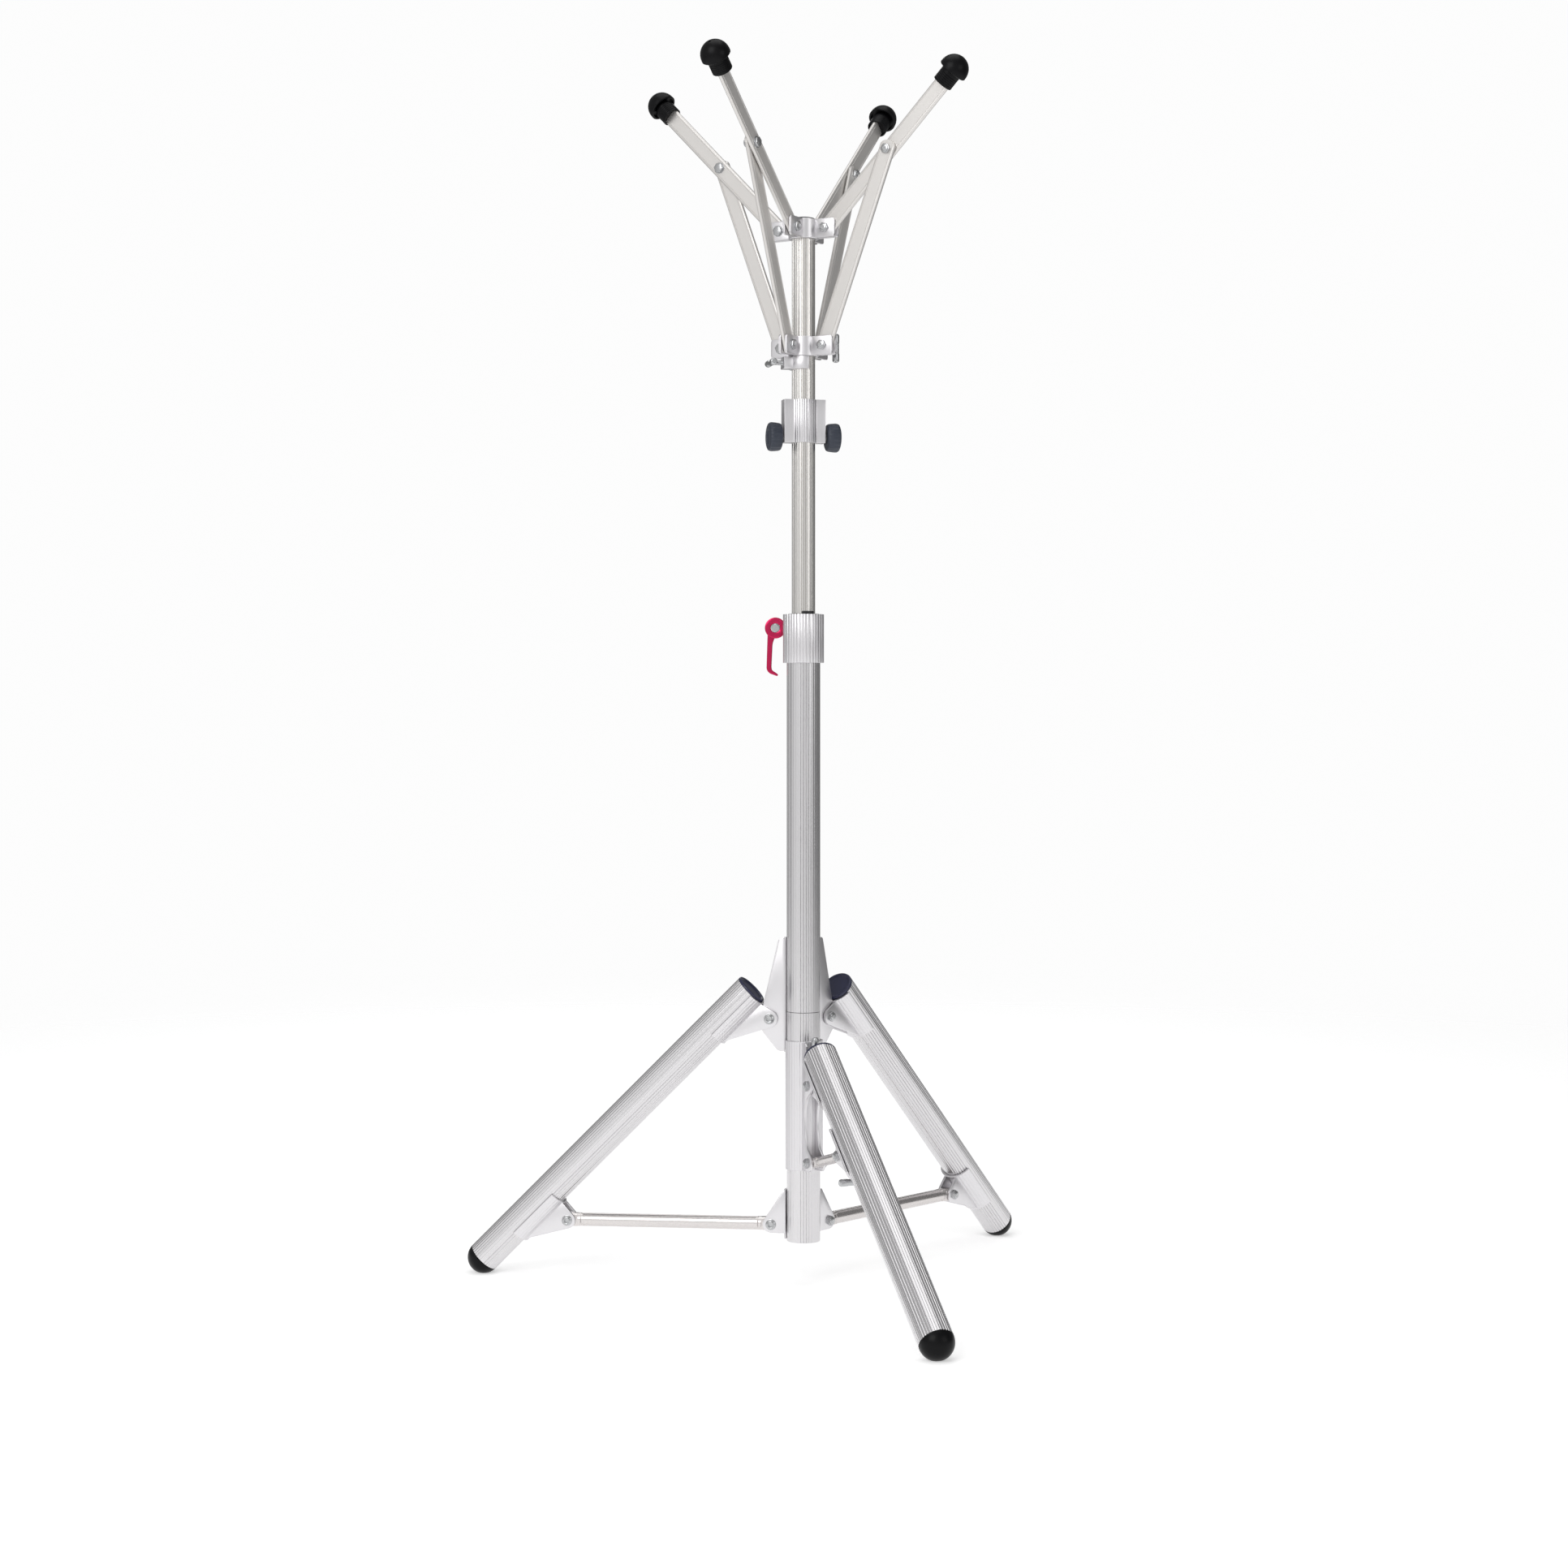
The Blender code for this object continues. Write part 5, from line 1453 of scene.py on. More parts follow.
@dataclass
class Cradle:
    """Hub, slider, arms, links and rubber ends.

    Attributes:
        first: azimuth of the first arm.
        hub: height of the hub's middle.
        pivot: radius of the pivots.
        spread: lean of the arms at rest.
    """

    fasteners: Fasteners
    screw: TeeScrew
    first: float = math.radians(-51)
    count: int = 4
    hub: float = 1208.5 * MM
    pivot: float = 30.3 * MM
    spread: float = math.radians(45.2)
    bore: float = 14.3 * MM
    wall: float = 3.8 * MM
    height: float = 23.2 * MM
    ear: float = 3 * MM
    ear_reach: float = 43.6 * MM
    slot: float = 5.6 * MM
    bar_width: float = 21 * MM
    bar: float = 5 * MM
    arm_length: float = 234 * MM
    link_point: float = 120.2 * MM
    link_length: float = 240.6 * MM

    def __post_init__(self) -> None:
        """Work out the links' lean and the slider's height."""
        reach = self.link_point * math.sin(self.spread)
        self.lean = math.asin(reach / self.link_length)
        rise = self.link_point * math.cos(self.spread)
        self.slider = self.hub + rise - self.link_length * math.cos(self.lean)

    def azimuth(self, index: int) -> float:
        """Azimuth of an arm."""
        return self.first + index * 2 * math.pi / self.count

    def build(self, shop: Workshop) -> None:
        """Make the whole cradle.

        Args:
            shop: takes the pieces.
        """
        self.collar(shop, "hub", 0.0, self.hub, "head", "arm_hub")
        self.collar(shop, "slider", -self.slot, self.slider, "slider", "arm_slider")
        gap = (self.slot - self.bar) / 2
        for i in range(self.count):
            label = str(i + 1)
            arm = frame_at(self.azimuth(i), self.pivot, self.hub, self.spread)
            body = "upper_arm_" + label
            shape = Shape().take(self.flat_bar(self.arm_length, False, gap), arm)
            shop.deliver("arm_bar_" + label, shape, Finish.ARM, body, "arm_" + label)
            side = gap + self.bar / 2
            tip = self.rubber_end(arm @ Matrix.Translation((0, side, 0)))
            shop.deliver("rubber_end_" + label, tip, Finish.RUBBER, body, "arm_tip_" + label)
            middle = arm @ Matrix.Translation((0, 0, self.link_point))
            spots = side_spots(middle, None, gap + self.bar)
            self.fasteners.place(shop, "arm_head_" + label, Bolt.HEX, spots, body)

            link = frame_at(self.azimuth(i), self.pivot, self.slider, self.lean)
            body = "lower_link_" + label
            bar = self.flat_bar(self.link_length, True, -gap - self.bar)
            shape = Shape().take(bar, link)
            shop.deliver("link_bar_" + label, shape, Finish.ARM, body, "link_" + label)
            outer = link @ Matrix.Translation((0, 0, self.link_length))
            spots = side_spots(outer, -gap - self.bar, None)
            self.fasteners.place(shop, "link_nut_" + label, Bolt.NUT, spots, body)
        self.stop(shop)

    def collar(
        self, shop: Workshop, name: str, slot: float, centre: float, body: str, node: str
    ) -> None:
        """Ring with forked ears, and the pivot bolts in them.

        Args:
            shop: takes the pieces.
            name: the collar's name.
            slot: where the ears' slot starts along the tangent.
            centre: height of its middle.
            body: the body it moves with.
            node: the CAD node it stands for.
        """
        low, high = centre - self.height / 2, centre + self.height / 2
        outer = self.bore + self.wall
        ring = [(self.bore, low), (outer - 0.6 * MM, low), (outer, low + 0.6 * MM)]
        ring += [(outer, high - 0.6 * MM), (outer - 0.6 * MM, high), (self.bore, high)]
        shape = Shape().lathe(ring, 72)
        inset = 0.3 * MM
        spots = []
        for i in range(self.count):
            turn = Matrix.Rotation(self.azimuth(i), 4, "Z")
            for start in (slot - self.ear, slot + self.slot):
                middle = start + self.ear / 2
                root = math.sqrt((self.bore + self.wall / 2) ** 2 - middle**2)
                ear = [(root, low + inset), (self.ear_reach, low + inset)]
                ear += [(self.ear_reach, high - inset), (root, high - inset)]
                ear = rounded(ear, 3 * MM, 4)
                shape.prism(ear, -start - self.ear, -start, turn @ UPRIGHT, 0.5 * MM)
            self.ribs(shape, turn, slot, low, high)
            place = frame_at(self.azimuth(i), self.pivot, centre)
            spots.append(side_spots(place, slot - self.ear, slot + self.slot + self.ear))
            pin = [(0, slot - 1 * MM), (3 * MM, slot - 1 * MM)]
            pin += [(3 * MM, slot + self.slot + 1 * MM), (0, slot + self.slot + 1 * MM)]
            flipped = Matrix.Rotation(math.radians(-90), 4, "X")
            shape.lathe(pin, 20, place @ flipped)
        shop.deliver(name + "_collar", shape, Finish.SATIN, body, node)
        self.fasteners.place(shop, name + "_heads", Bolt.HEX, [s[0] for s in spots], body)
        self.fasteners.place(shop, name + "_nuts", Bolt.NUT, [s[1] for s in spots], body)

    def ribs(self, shape: Shape, turn: Matrix, slot: float, low: float, high: float) -> None:
        """Fine upright ribs on the ears' outer ends.

        Args:
            shape: the collar.
            turn: the arm's azimuth.
            slot: where the slot starts.
            low: collar's lower face.
            high: collar's upper face.
        """
        for start in (slot - self.ear, slot + self.slot):
            for k in (0.25, 0.75):
                y = start + self.ear * k
                rib = disc((self.ear_reach - 0.1 * MM, y), 0.45 * MM, 10)
                shape.prism(rib, low + 3.4 * MM, high - 3.4 * MM, turn)

    def flat_bar(self, length: float, both: bool, start: float) -> bpy.types.Mesh:
        """Flat bar with round long edges and a drawn groove near each, on both faces.

        Args:
            length: distance from its pivot to its other end or pivot.
            both: whether the far end is rounded too.
            start: where its thickness starts along Y.

        Returns:
            The bar's mesh in its pivot's frame.
        """
        half, t = self.bar_width / 2, self.bar / 2
        groove_at, groove, depth = 6.9 * MM, 0.45 * MM, 0.4 * MM
        face: list[Point] = []
        for x in (-groove_at, groove_at):
            face += [(x - groove, t), (x - groove * 0.4, t - depth), (x + groove * 0.4, t - depth)]
            face += [(x + groove, t)]
        right = moved(arc(t, math.radians(78), math.radians(-78), 10), half - t, 0)
        top = sorted(face)
        bottom = [(x, -y) for x, y in reversed(top)]
        left = [(-x, -y) for x, y in right]
        section = [*top, *right, *bottom, *left]
        margin = self.bar_width
        drawn = Shape().prism([(x, y + start + t) for x, y in section], -margin, length + margin)
        stadium = arc(half, math.pi, 2 * math.pi, 40)
        if both:
            stadium += moved(arc(half, 0, math.pi, 40), 0, length)
        else:
            stadium += [(half, length), (-half, length)]
        blank = Shape().prism(stadium, -start - 2 * self.bar, -start + self.bar, UPRIGHT)
        return boolean(drawn.to_mesh("drawn"), blank.to_mesh("blank"), "INTERSECT")

    def rubber_end(self, matrix: Matrix) -> Shape:
        """Domed rubber end over a socket, hollow below its rim.

        Args:
            matrix: the arm's frame, centred in the bar's thickness.

        Returns:
            The shape in world coordinates.
        """
        low = self.arm_length - 15.2 * MM
        neck = low + 18 * MM
        dome = neck + 3 * MM
        r, top, socket = 17.6 * MM, 18 * MM, 12.2 * MM
        profile = [(0, low + 3 * MM), (socket - 2.2 * MM, low + 3 * MM), (socket - 1.6 * MM, low)]
        profile += [(socket - 0.5 * MM, low), (socket, low + 0.6 * MM)]
        for k in range(5):
            z = low + (3.6 + 2.4 * k) * MM
            profile += [(socket, z - 0.5 * MM), (socket - 0.35 * MM, z), (socket, z + 0.5 * MM)]
        profile += [(socket, neck - 0.8 * MM), (socket - 0.8 * MM, neck), (9.5 * MM, neck)]
        profile += [(9.5 * MM, dome + 1.2 * MM), (r - 3 * MM, dome + 1.2 * MM)]
        profile += [(r - 2.6 * MM, dome - 2.8 * MM), (r - 1 * MM, dome - 2.8 * MM)]
        profile += [(r, dome - 1.8 * MM)]
        for k in range(10):
            a = math.radians(9 * k)
            profile.append((r * math.cos(a), dome + top * math.sin(a)))
        profile += [(1.7 * MM, dome + top * 0.995), (1.5 * MM, dome + top - 3 * MM)]
        profile += [(0, dome + top - 3.2 * MM)]
        return Shape().lathe(profile, 64, matrix)

    def stop(self, shop: Workshop) -> None:
        """Open stop collar below the slider, and both clamping screws.

        Args:
            shop: takes the pieces.
        """
        high = self.slider - self.height / 2 - 0.3 * MM
        low = high - 15.2 * MM
        outer = self.bore + 3.4 * MM
        place = frame_at(math.radians(174), 0, 0)
        half = math.radians(98)
        ring = arc(outer, -half, half, 48) + arc(self.bore, half, -half, 48)
        shape = Shape().prism(ring, low, high, place, 0.6 * MM)
        width = 9 * MM
        middle = self.bore + 1.7 * MM
        spread = math.asin(width / middle)
        block = [*arc(middle, spread, -spread, 12), (26 * MM, -width), (26 * MM, width)]
        shape.prism(block, low + 0.4 * MM, high - 0.4 * MM, place, 0.9 * MM)
        shop.deliver("stop_collar", shape, Finish.SATIN, "slider", "slider_stop")
        start = self.bore + 0.3 * MM
        level = place @ Matrix.Translation((0, 0, (low + high) / 2))
        tee = self.screw.shape(level, start, 40 * MM, math.radians(90))
        shop.deliver("stop_tee_screw", tee, Finish.ZINC, "stop_lock", "stop_screw")
        boss = frame_at(math.radians(-6), 0, self.slider)
        tee = self.screw.shape(boss, start, 40 * MM, 0)
        shop.deliver("slider_tee_screw", tee, Finish.ZINC, "slider_lock", "slider_screw")


@dataclass
class Saddle:
    """Bent extrusion that hugs a tube and carries a pair of plates or a tongue.

    Attributes:
        bore: inside radius of the shell.
        wall: its thickness.
        plate: thickness of a plate.
        gap: space between the plates.
        tongue: width of a tongue.
    """

    bore: float = 20.3 * MM
    wall: float = 3 * MM
    plate: float = 3 * MM
    gap: float = 13 * MM
    tongue: float = 12.4 * MM
    lug: float = 10 * MM

    def fork(self) -> list[tuple[float, float]]:
        """Spans of the two plates along the tangent."""
        inner = self.gap / 2
        return [(inner, inner + self.plate), (-inner - self.plate, -inner)]

    def shell(
        self, shape: Shape, start: float, end: float, low: float, high: float, matrix: Matrix
    ) -> None:
        """Add the bent wall with rounded lips.

        Args:
            shape: the piece to add to.
            start: angle where it starts.
            end: angle where it ends.
            low: where it starts along Z.
            high: where it ends along Z.
            matrix: where it goes.
        """
        outer = self.bore + self.wall
        lip = self.wall / 2
        middle = self.bore + lip
        trim = math.asin(lip / middle)
        start, end = start + trim, end - trim
        outline = fluted_arc(outer, start, end)
        cap = moved(arc(lip, end, end + math.pi, 6), middle * math.cos(end), middle * math.sin(end))
        outline += cap[1:-1]
        outline += arc(self.bore, end, start, 48)
        cap = moved(
            arc(lip, start + math.pi, start + 2 * math.pi, 6),
            middle * math.cos(start),
            middle * math.sin(start),
        )
        outline += cap[1:-1]
        shape.prism(outline, low, high, matrix, 0.3 * MM, segments=1)

    def root(self, span: tuple[float, float]) -> float:
        """How far out a plate starts so that its root is inside the shell's wall."""
        return math.sqrt((self.bore + self.wall / 2) ** 2 - (sum(span) / 2) ** 2)


@dataclass
class LegSizes:
    """Where one leg is and how it is held.

    Attributes:
        label: left, right or front.
        body: the body it moves with.
        azimuth: its direction.
        slope: angle below the horizontal.
        pivot_radius: radius of its upper pivot.
        pivot_height: height of its upper pivot.
        above: how far the tube goes on above the pivot.
    """

    label: str
    body: str
    azimuth: float
    slope: float
    pivot_radius: float
    pivot_height: float
    above: float


@dataclass
class Tripod:
    """Legs, braces and the brackets that hold them on the column.

    Attributes:
        floor: height of the floor.
        radius: leg tube's radius.
        offset: distance of a leg's axis from its pivots' line.
    """

    tubes: FlutedTube
    fasteners: Fasteners
    screw: TeeScrew
    saddle: Saddle = field(default_factory=Saddle)
    floor: float = -52 * MM
    radius: float = 20 * MM
    wall: float = 2.5 * MM
    flat: float = 1.27 * MM
    offset: float = 40.5 * MM
    gap: float = 0.3 * MM
    brace_point: float = 352 * MM
    brace_radius: float = 8 * MM
    link_radius: float = 6.1 * MM
    brace_pivot: Point = (38 * MM, 19.3 * MM)
    bracket: float = 68 * MM
    margin: float = 12 * MM
    clamp_point: float = 119 * MM
    clamp_offset: float = 35 * MM
    front_upper: Point = (40 * MM, 190 * MM)
    front_lower: Point = (40 * MM, 98.7 * MM)

    def legs(self) -> list[LegSizes]:
        """The three legs."""
        rear = (math.radians(45), 40 * MM, 265 * MM, 6 * MM)
        front = (math.radians(37), *self.front_upper, 8 * MM)
        return [
            LegSizes("left", "rear_left_leg", math.radians(150), *rear),
            LegSizes("right", "rear_right_leg", math.radians(30), *rear),
            LegSizes("front", "fore_leg", math.radians(-90), *front),
        ]

    def build(self, shop: Workshop) -> None:
        """Make the whole tripod.

        Args:
            shop: takes the pieces.
        """
        for leg in self.legs():
            self.leg(shop, leg)
            if leg.label != "front":
                self.rear_leg_brackets(shop, leg)
                self.brace(shop, leg)
        self.wing_bracket(shop)
        self.brace_bracket(shop)
        self.front_sleeve(shop)
        self.front_leg_brackets(shop)

    def leg_frame(self, leg: LegSizes) -> Matrix:
        """Frame at a leg's upper pivot, with Z up along the leg."""
        tilt = leg.slope - math.pi / 2
        return frame_at(leg.azimuth, leg.pivot_radius, leg.pivot_height, tilt)

    def leg(self, shop: Workshop, leg: LegSizes) -> None:
        """Fluted tube, rubber foot and top cap of one leg.

        Args:
            shop: takes the pieces.
            leg: which leg.
        """
        centre = self.floor + self.radius - self.flat
        drop = leg.pivot_height + self.offset * math.cos(leg.slope) - centre
        low = -drop / math.sin(leg.slope)
        axis = self.leg_frame(leg) @ Matrix.Translation((self.offset, 0, 0))
        length = leg.above - low - self.gap
        turn = math.radians(40 if leg.label == "front" else 10)
        tube = self.tubes.make(shop, Finish.FLUTED, self.radius, self.wall, length, turn)
        shape = Shape().take(tube, axis @ Matrix.Translation((0, 0, low + self.gap)))
        shop.deliver(leg.label + "_leg_drawn", shape, Finish.FLUTED, leg.body, leg.label + "_leg")
        foot = self.foot(axis @ Matrix.Translation((0, 0, low))).clamp_low(self.floor)
        node = leg.label + "_foot"
        shop.deliver(node + "_moulded", foot, Finish.RUBBER, leg.body, node)
        cap = self.cap(axis @ Matrix.Translation((0, 0, leg.above + self.gap)))
        node = leg.label + "_leg_cap"
        shop.deliver(leg.label + "_cap_moulded", cap, Finish.NAVY, leg.body, node)

    def foot(self, matrix: Matrix) -> Shape:
        """Round rubber foot with a shallow moulding line, and its stem in the tube."""
        r, stem = self.radius, self.radius - self.wall - self.gap
        profile: list[Point] = []
        for k in range(13):
            a = math.radians(7.2 * k)
            profile.append((r * math.sin(a), -r * math.cos(a)))
        profile += [(r - 0.35 * MM, -0.9 * MM), (r - 0.1 * MM, 0), (r - 1.5 * MM, 0.25 * MM)]
        profile += [(stem, 0.25 * MM), (stem, 12 * MM), (0, 12 * MM)]
        return Shape().lathe(profile, 72, matrix)

    def cap(self, matrix: Matrix) -> Shape:
        """Recessed cap with a raised rim in a leg's upper end."""
        r, stem = self.radius, self.radius - self.wall - self.gap
        profile = [(0, -12 * MM), (stem, -12 * MM), (stem, 0), (r - 0.2 * MM, 0), (r, 0.3 * MM)]
        profile += [(r, 1.6 * MM), (r - 0.4 * MM, 2.5 * MM), (r - 1.3 * MM, 3 * MM)]
        profile += [(r - 2.6 * MM, 3 * MM), (r - 3.4 * MM, 2.6 * MM), (r - 4.2 * MM, 1.4 * MM)]
        profile += [(r - 6.2 * MM, 1.0 * MM), (6 * MM, 1.3 * MM), (0, 1.5 * MM)]
        return Shape().lathe(profile, 72, matrix)

    def lug_outline(self, base: Sequence[Point], centre: Point) -> list[Point]:
        """Plate from a straight base to a round lug."""
        return hull([*base, *disc(centre, self.saddle.lug, 40)])

    def leg_saddle(
        self,
        matrix: Matrix,
        axis_x: float,
        low: float,
        high: float,
        lug: Point,
        tongue: bool = False,
    ) -> Shape:
        """Bracket on the inner side of a leg.

        Args:
            matrix: frame whose Z runs up the leg.
            axis_x: the leg's axis along X.
            low: where the shell starts.
            high: where it ends.
            lug: (x, z) of the pivot.
            tongue: whether it has one thick tongue, not two plates.

        Returns:
            The shape in world coordinates.
        """
        saddle = self.saddle
        shape = Shape()
        wrap = math.radians(75)
        shift = matrix @ Matrix.Translation((axis_x, 0, 0))
        saddle.shell(shape, math.pi - wrap, math.pi + wrap, low, high, shift)
        half = saddle.tongue / 2
        spans = [(-half, half)] if tongue else saddle.fork()
        for span in spans:
            inset = 1 * MM
            root = axis_x - (22.9 * MM if tongue else saddle.root(span))
            outline = self.lug_outline([(root, low + inset), (root, high - inset)], lug)
            shape.prism(outline, -span[1], -span[0], matrix @ UPRIGHT, 0.55 * MM)
        return shape

    def rear_leg_brackets(self, shop: Workshop, leg: LegSizes) -> None:
        """Upper and lower bracket of a rear leg, with their bolts.

        Args:
            shop: takes the pieces.
            leg: which leg.
        """
        matrix = self.leg_frame(leg)
        side = self.saddle.gap / 2 + self.saddle.plate
        high = leg.above
        upper = self.leg_saddle(matrix, self.offset, high - self.bracket, high, (0, 0))
        low = -self.brace_point + self.margin - self.bracket
        lower = self.leg_saddle(
            matrix, self.offset, low, low + self.bracket, (0, -self.brace_point)
        )
        outer = matrix @ Matrix.Translation((0, 0, -self.brace_point))
        self.pin(lower, outer, side)
        for name, shape in (("upper", upper), ("lower", lower)):
            node = f"{leg.label}_{name}_bracket"
            shop.deliver(node + "_formed", shape, Finish.SATIN, leg.body, node)
        ends = [side_spots(place, -side, side) for place in (matrix, outer)]
        self.bolts(shop, leg.label + "_leg", ends, leg.body)

    def pin(self, shape: Shape, place: Matrix, side: float) -> None:
        """Add a pivot bolt's shank between two plates."""
        rod = [(0, -side + 1 * MM), (3 * MM, -side + 1 * MM), (3 * MM, side - 1 * MM)]
        rod.append((0, side - 1 * MM))
        shape.lathe(rod, 20, place @ UPRIGHT)

    def bolts(self, shop: Workshop, name: str, ends: Sequence[Any], body: str) -> None:
        """Button heads on one side and nuts on the other.

        Args:
            shop: takes the pieces.
            name: start of their names.
            ends: (head, nut) spots of each bolt.
            body: the body they move with.
        """
        self.fasteners.place(shop, name + "_heads", Bolt.BUTTON, [e[0] for e in ends], body)
        self.fasteners.place(shop, name + "_nuts", Bolt.NUT, [e[1] for e in ends], body)

    def strut(self, matrix: Matrix, length: float, r: float) -> Shape:
        """Round strut with end plugs whose flat tongues take the pivots.

        Args:
            matrix: frame with Z along the strut.
            length: distance between its pivots.
            r: radius of its tube.

        Returns:
            The shape in world coordinates.
        """
        neck = 16.5 * MM
        edge = 0.5 * MM
        profile = [(0, neck), (r - edge, neck), (r, neck + edge), (r, length - neck - edge)]
        profile += [(r - edge, length - neck), (0, length - neck)]
        shape = Shape().lathe(profile, 48, matrix)
        half = self.saddle.tongue / 2
        tip = r - 0.2 * MM
        for centre, sign in ((0.0, 1), (length, -1)):
            root = centre + sign * (neck + 3 * MM)
            outline = hull(
                [(-tip * 0.9, root), (tip * 0.9, root), (-tip, centre), (tip, centre)]
                + disc((0, centre), tip, 32)
            )
            shape.prism(outline, -half, half, matrix @ UPRIGHT, 0.8 * MM)
            collar = [(0, centre + sign * 12.6 * MM), (r * 0.97, centre + sign * 12.6 * MM)]
            collar += [(r * 0.97, centre + sign * 15.9 * MM), (0, centre + sign * 15.9 * MM)]
            shape.lathe(collar, 48, matrix)
        return shape

    def brace(self, shop: Workshop, leg: LegSizes) -> None:
        """Brace from the sliding bracket to a rear leg.

        Args:
            shop: takes the piece.
            leg: which leg.
        """
        out = leg.pivot_radius + self.brace_point * math.cos(leg.slope)
        down = leg.pivot_height - self.brace_point * math.sin(leg.slope)
        dx, dz = out - self.brace_pivot[0], down - self.brace_pivot[1]
        matrix = frame_at(leg.azimuth, *self.brace_pivot, math.atan2(dx, dz))
        shape = self.strut(matrix, math.hypot(dx, dz), self.brace_radius)
        body = leg.label + "_strut"
        shop.deliver(leg.label + "_brace_bar", shape, Finish.STRUT, body, leg.label + "_brace")

    def wing_bracket(self, shop: Workshop) -> None:
        """Tall fixed bracket with a double plate towards each rear leg.

        Args:
            shop: takes the piece.
        """
        low, height = 225.5 * MM, 137 * MM
        high = low + height
        shape = Shape()
        margin = math.radians(14)
        self.saddle.shell(
            shape, math.radians(30) - margin, math.radians(150) + margin, low, high, Matrix()
        )
        half = self.saddle.tongue / 2
        radius, pivot = self.legs()[0].pivot_radius, self.legs()[0].pivot_height
        for azimuth in (30, 150):
            turn = Matrix.Rotation(math.radians(azimuth), 4, "Z")
            for span in ((half - 3 * MM, half), (-half, 3 * MM - half)):
                root = self.saddle.root(span)
                plate = [
                    (root, low + 1 * MM),
                    (radius - 10 * MM, low + 1 * MM),
                    (radius + 10 * MM, pivot - 14 * MM),
                    (radius + 10 * MM, pivot + 8 * MM),
                    (radius - 11 * MM, high - 1 * MM),
                    (root, high - 1 * MM),
                ]
                plate = rounded(plate, 4 * MM, 5)
                shape.prism(plate, -span[1], -span[0], turn @ UPRIGHT, 0.5 * MM)
        shop.deliver("wing_bracket_formed", shape, Finish.SATIN, "base", "wing_bracket")

    def brace_bracket(self, shop: Workshop) -> None:
        """Sliding bracket that carries both braces, and its clamping screw.

        Args:
            shop: takes the pieces.
        """
        low, height = 2 * MM, 59 * MM
        high = low + height
        shape = Shape()
        margin = math.radians(14)
        self.saddle.shell(
            shape, math.radians(30) - margin, math.radians(150) + margin, low, high, Matrix()
        )
        side = self.saddle.gap / 2 + self.saddle.plate
        ends = []
        x, z = self.brace_pivot
        for azimuth in (30, 150):
            turn = Matrix.Rotation(math.radians(azimuth), 4, "Z")
            for span in self.saddle.fork():
                root = self.saddle.root(span)
                base = [(root, z - self.saddle.lug), (root, high - 1 * MM)]
                base.append((root + 3 * MM, high - 1 * MM))
                outline = self.lug_outline(base, (x, z))
                shape.prism(outline, -span[1], -span[0], turn @ UPRIGHT, 0.5 * MM)
            place = frame_at(math.radians(azimuth), x, z)
            self.pin(shape, place, side)
            ends.append(side_spots(place, -side, side))
        name = "brace_bracket"
        shop.deliver(name + "_formed", shape, Finish.SATIN, "brace_carriage", name)
        self.bolts(shop, name, ends, "brace_carriage")
        boss = frame_at(math.radians(90), 0, (low + high) / 2)
        tee = self.screw.shape(boss, self.saddle.bore + self.gap, 46 * MM, math.radians(90))
        shop.deliver("brace_tee_screw", tee, Finish.ZINC, "brace_lock", "brace_screw")

    def front_sleeve(self, shop: Workshop) -> None:
        """Sleeve that carries the front leg and its short link.

        Args:
            shop: takes the pieces.
        """
        low, high = 86.6 * MM, 240 * MM
        lug, reach, waist = self.saddle.lug, 34 * MM, 27 * MM
        (ux, uz), (lx, lz) = self.front_upper, self.front_lower
        quarter = math.pi / 2
        rise = uz - lz
        hollow = []
        for k in range(17):
            t = 0.08 + 0.84 * k / 16
            x = lx + (waist - lx) * math.sin(math.pi * t) ** 0.7
            hollow.append((x, lz + lug + (rise - 2 * lug) * t))
        place = frame_at(math.radians(-90), 0, 0)
        shape = Shape()
        wrap = math.radians(92)
        self.saddle.shell(shape, -wrap, wrap, low, high, place)
        side = self.saddle.gap / 2 + self.saddle.plate
        for span in self.saddle.fork():
            root = self.saddle.root(span)
            outline = [
                (root, low + 0.6 * MM),
                *moved(arc(lug, -quarter, quarter * 0.6, 16), lx, lz),
                *hollow,
                *moved(arc(lug, -quarter * 0.6, quarter * 0.7, 16), ux, uz),
                (reach, uz + 18 * MM),
                (reach, high - 4 * MM),
                (reach - 3 * MM, high - 1 * MM),
                (root, high - 1 * MM),
            ]
            shape.prism(outline, -span[1], -span[0], place @ UPRIGHT, 0.5 * MM)
        ends = []
        for x, z in (self.front_upper, self.front_lower):
            pivot = frame_at(math.radians(-90), x, z)
            self.pin(shape, pivot, side)
            ends.append(side_spots(pivot, -side, side))
        shop.deliver("front_sleeve_formed", shape, Finish.SATIN, "sleeve", "front_sleeve")
        heads = [end[0] for end in ends]
        self.fasteners.place(shop, "front_sleeve_heads", Bolt.HEX, heads, "sleeve")
        nuts = [end[1] for end in ends]
        self.fasteners.place(shop, "front_sleeve_nuts", Bolt.NUT, nuts, "sleeve")
        boss = place @ Matrix.Translation((0, 0, high - 10 * MM))
        tee = self.screw.shape(boss, self.saddle.bore + self.gap, 40 * MM, 0)
        shop.deliver("sleeve_tee_screw", tee, Finish.ZINC, "sleeve", "sleeve_screw")

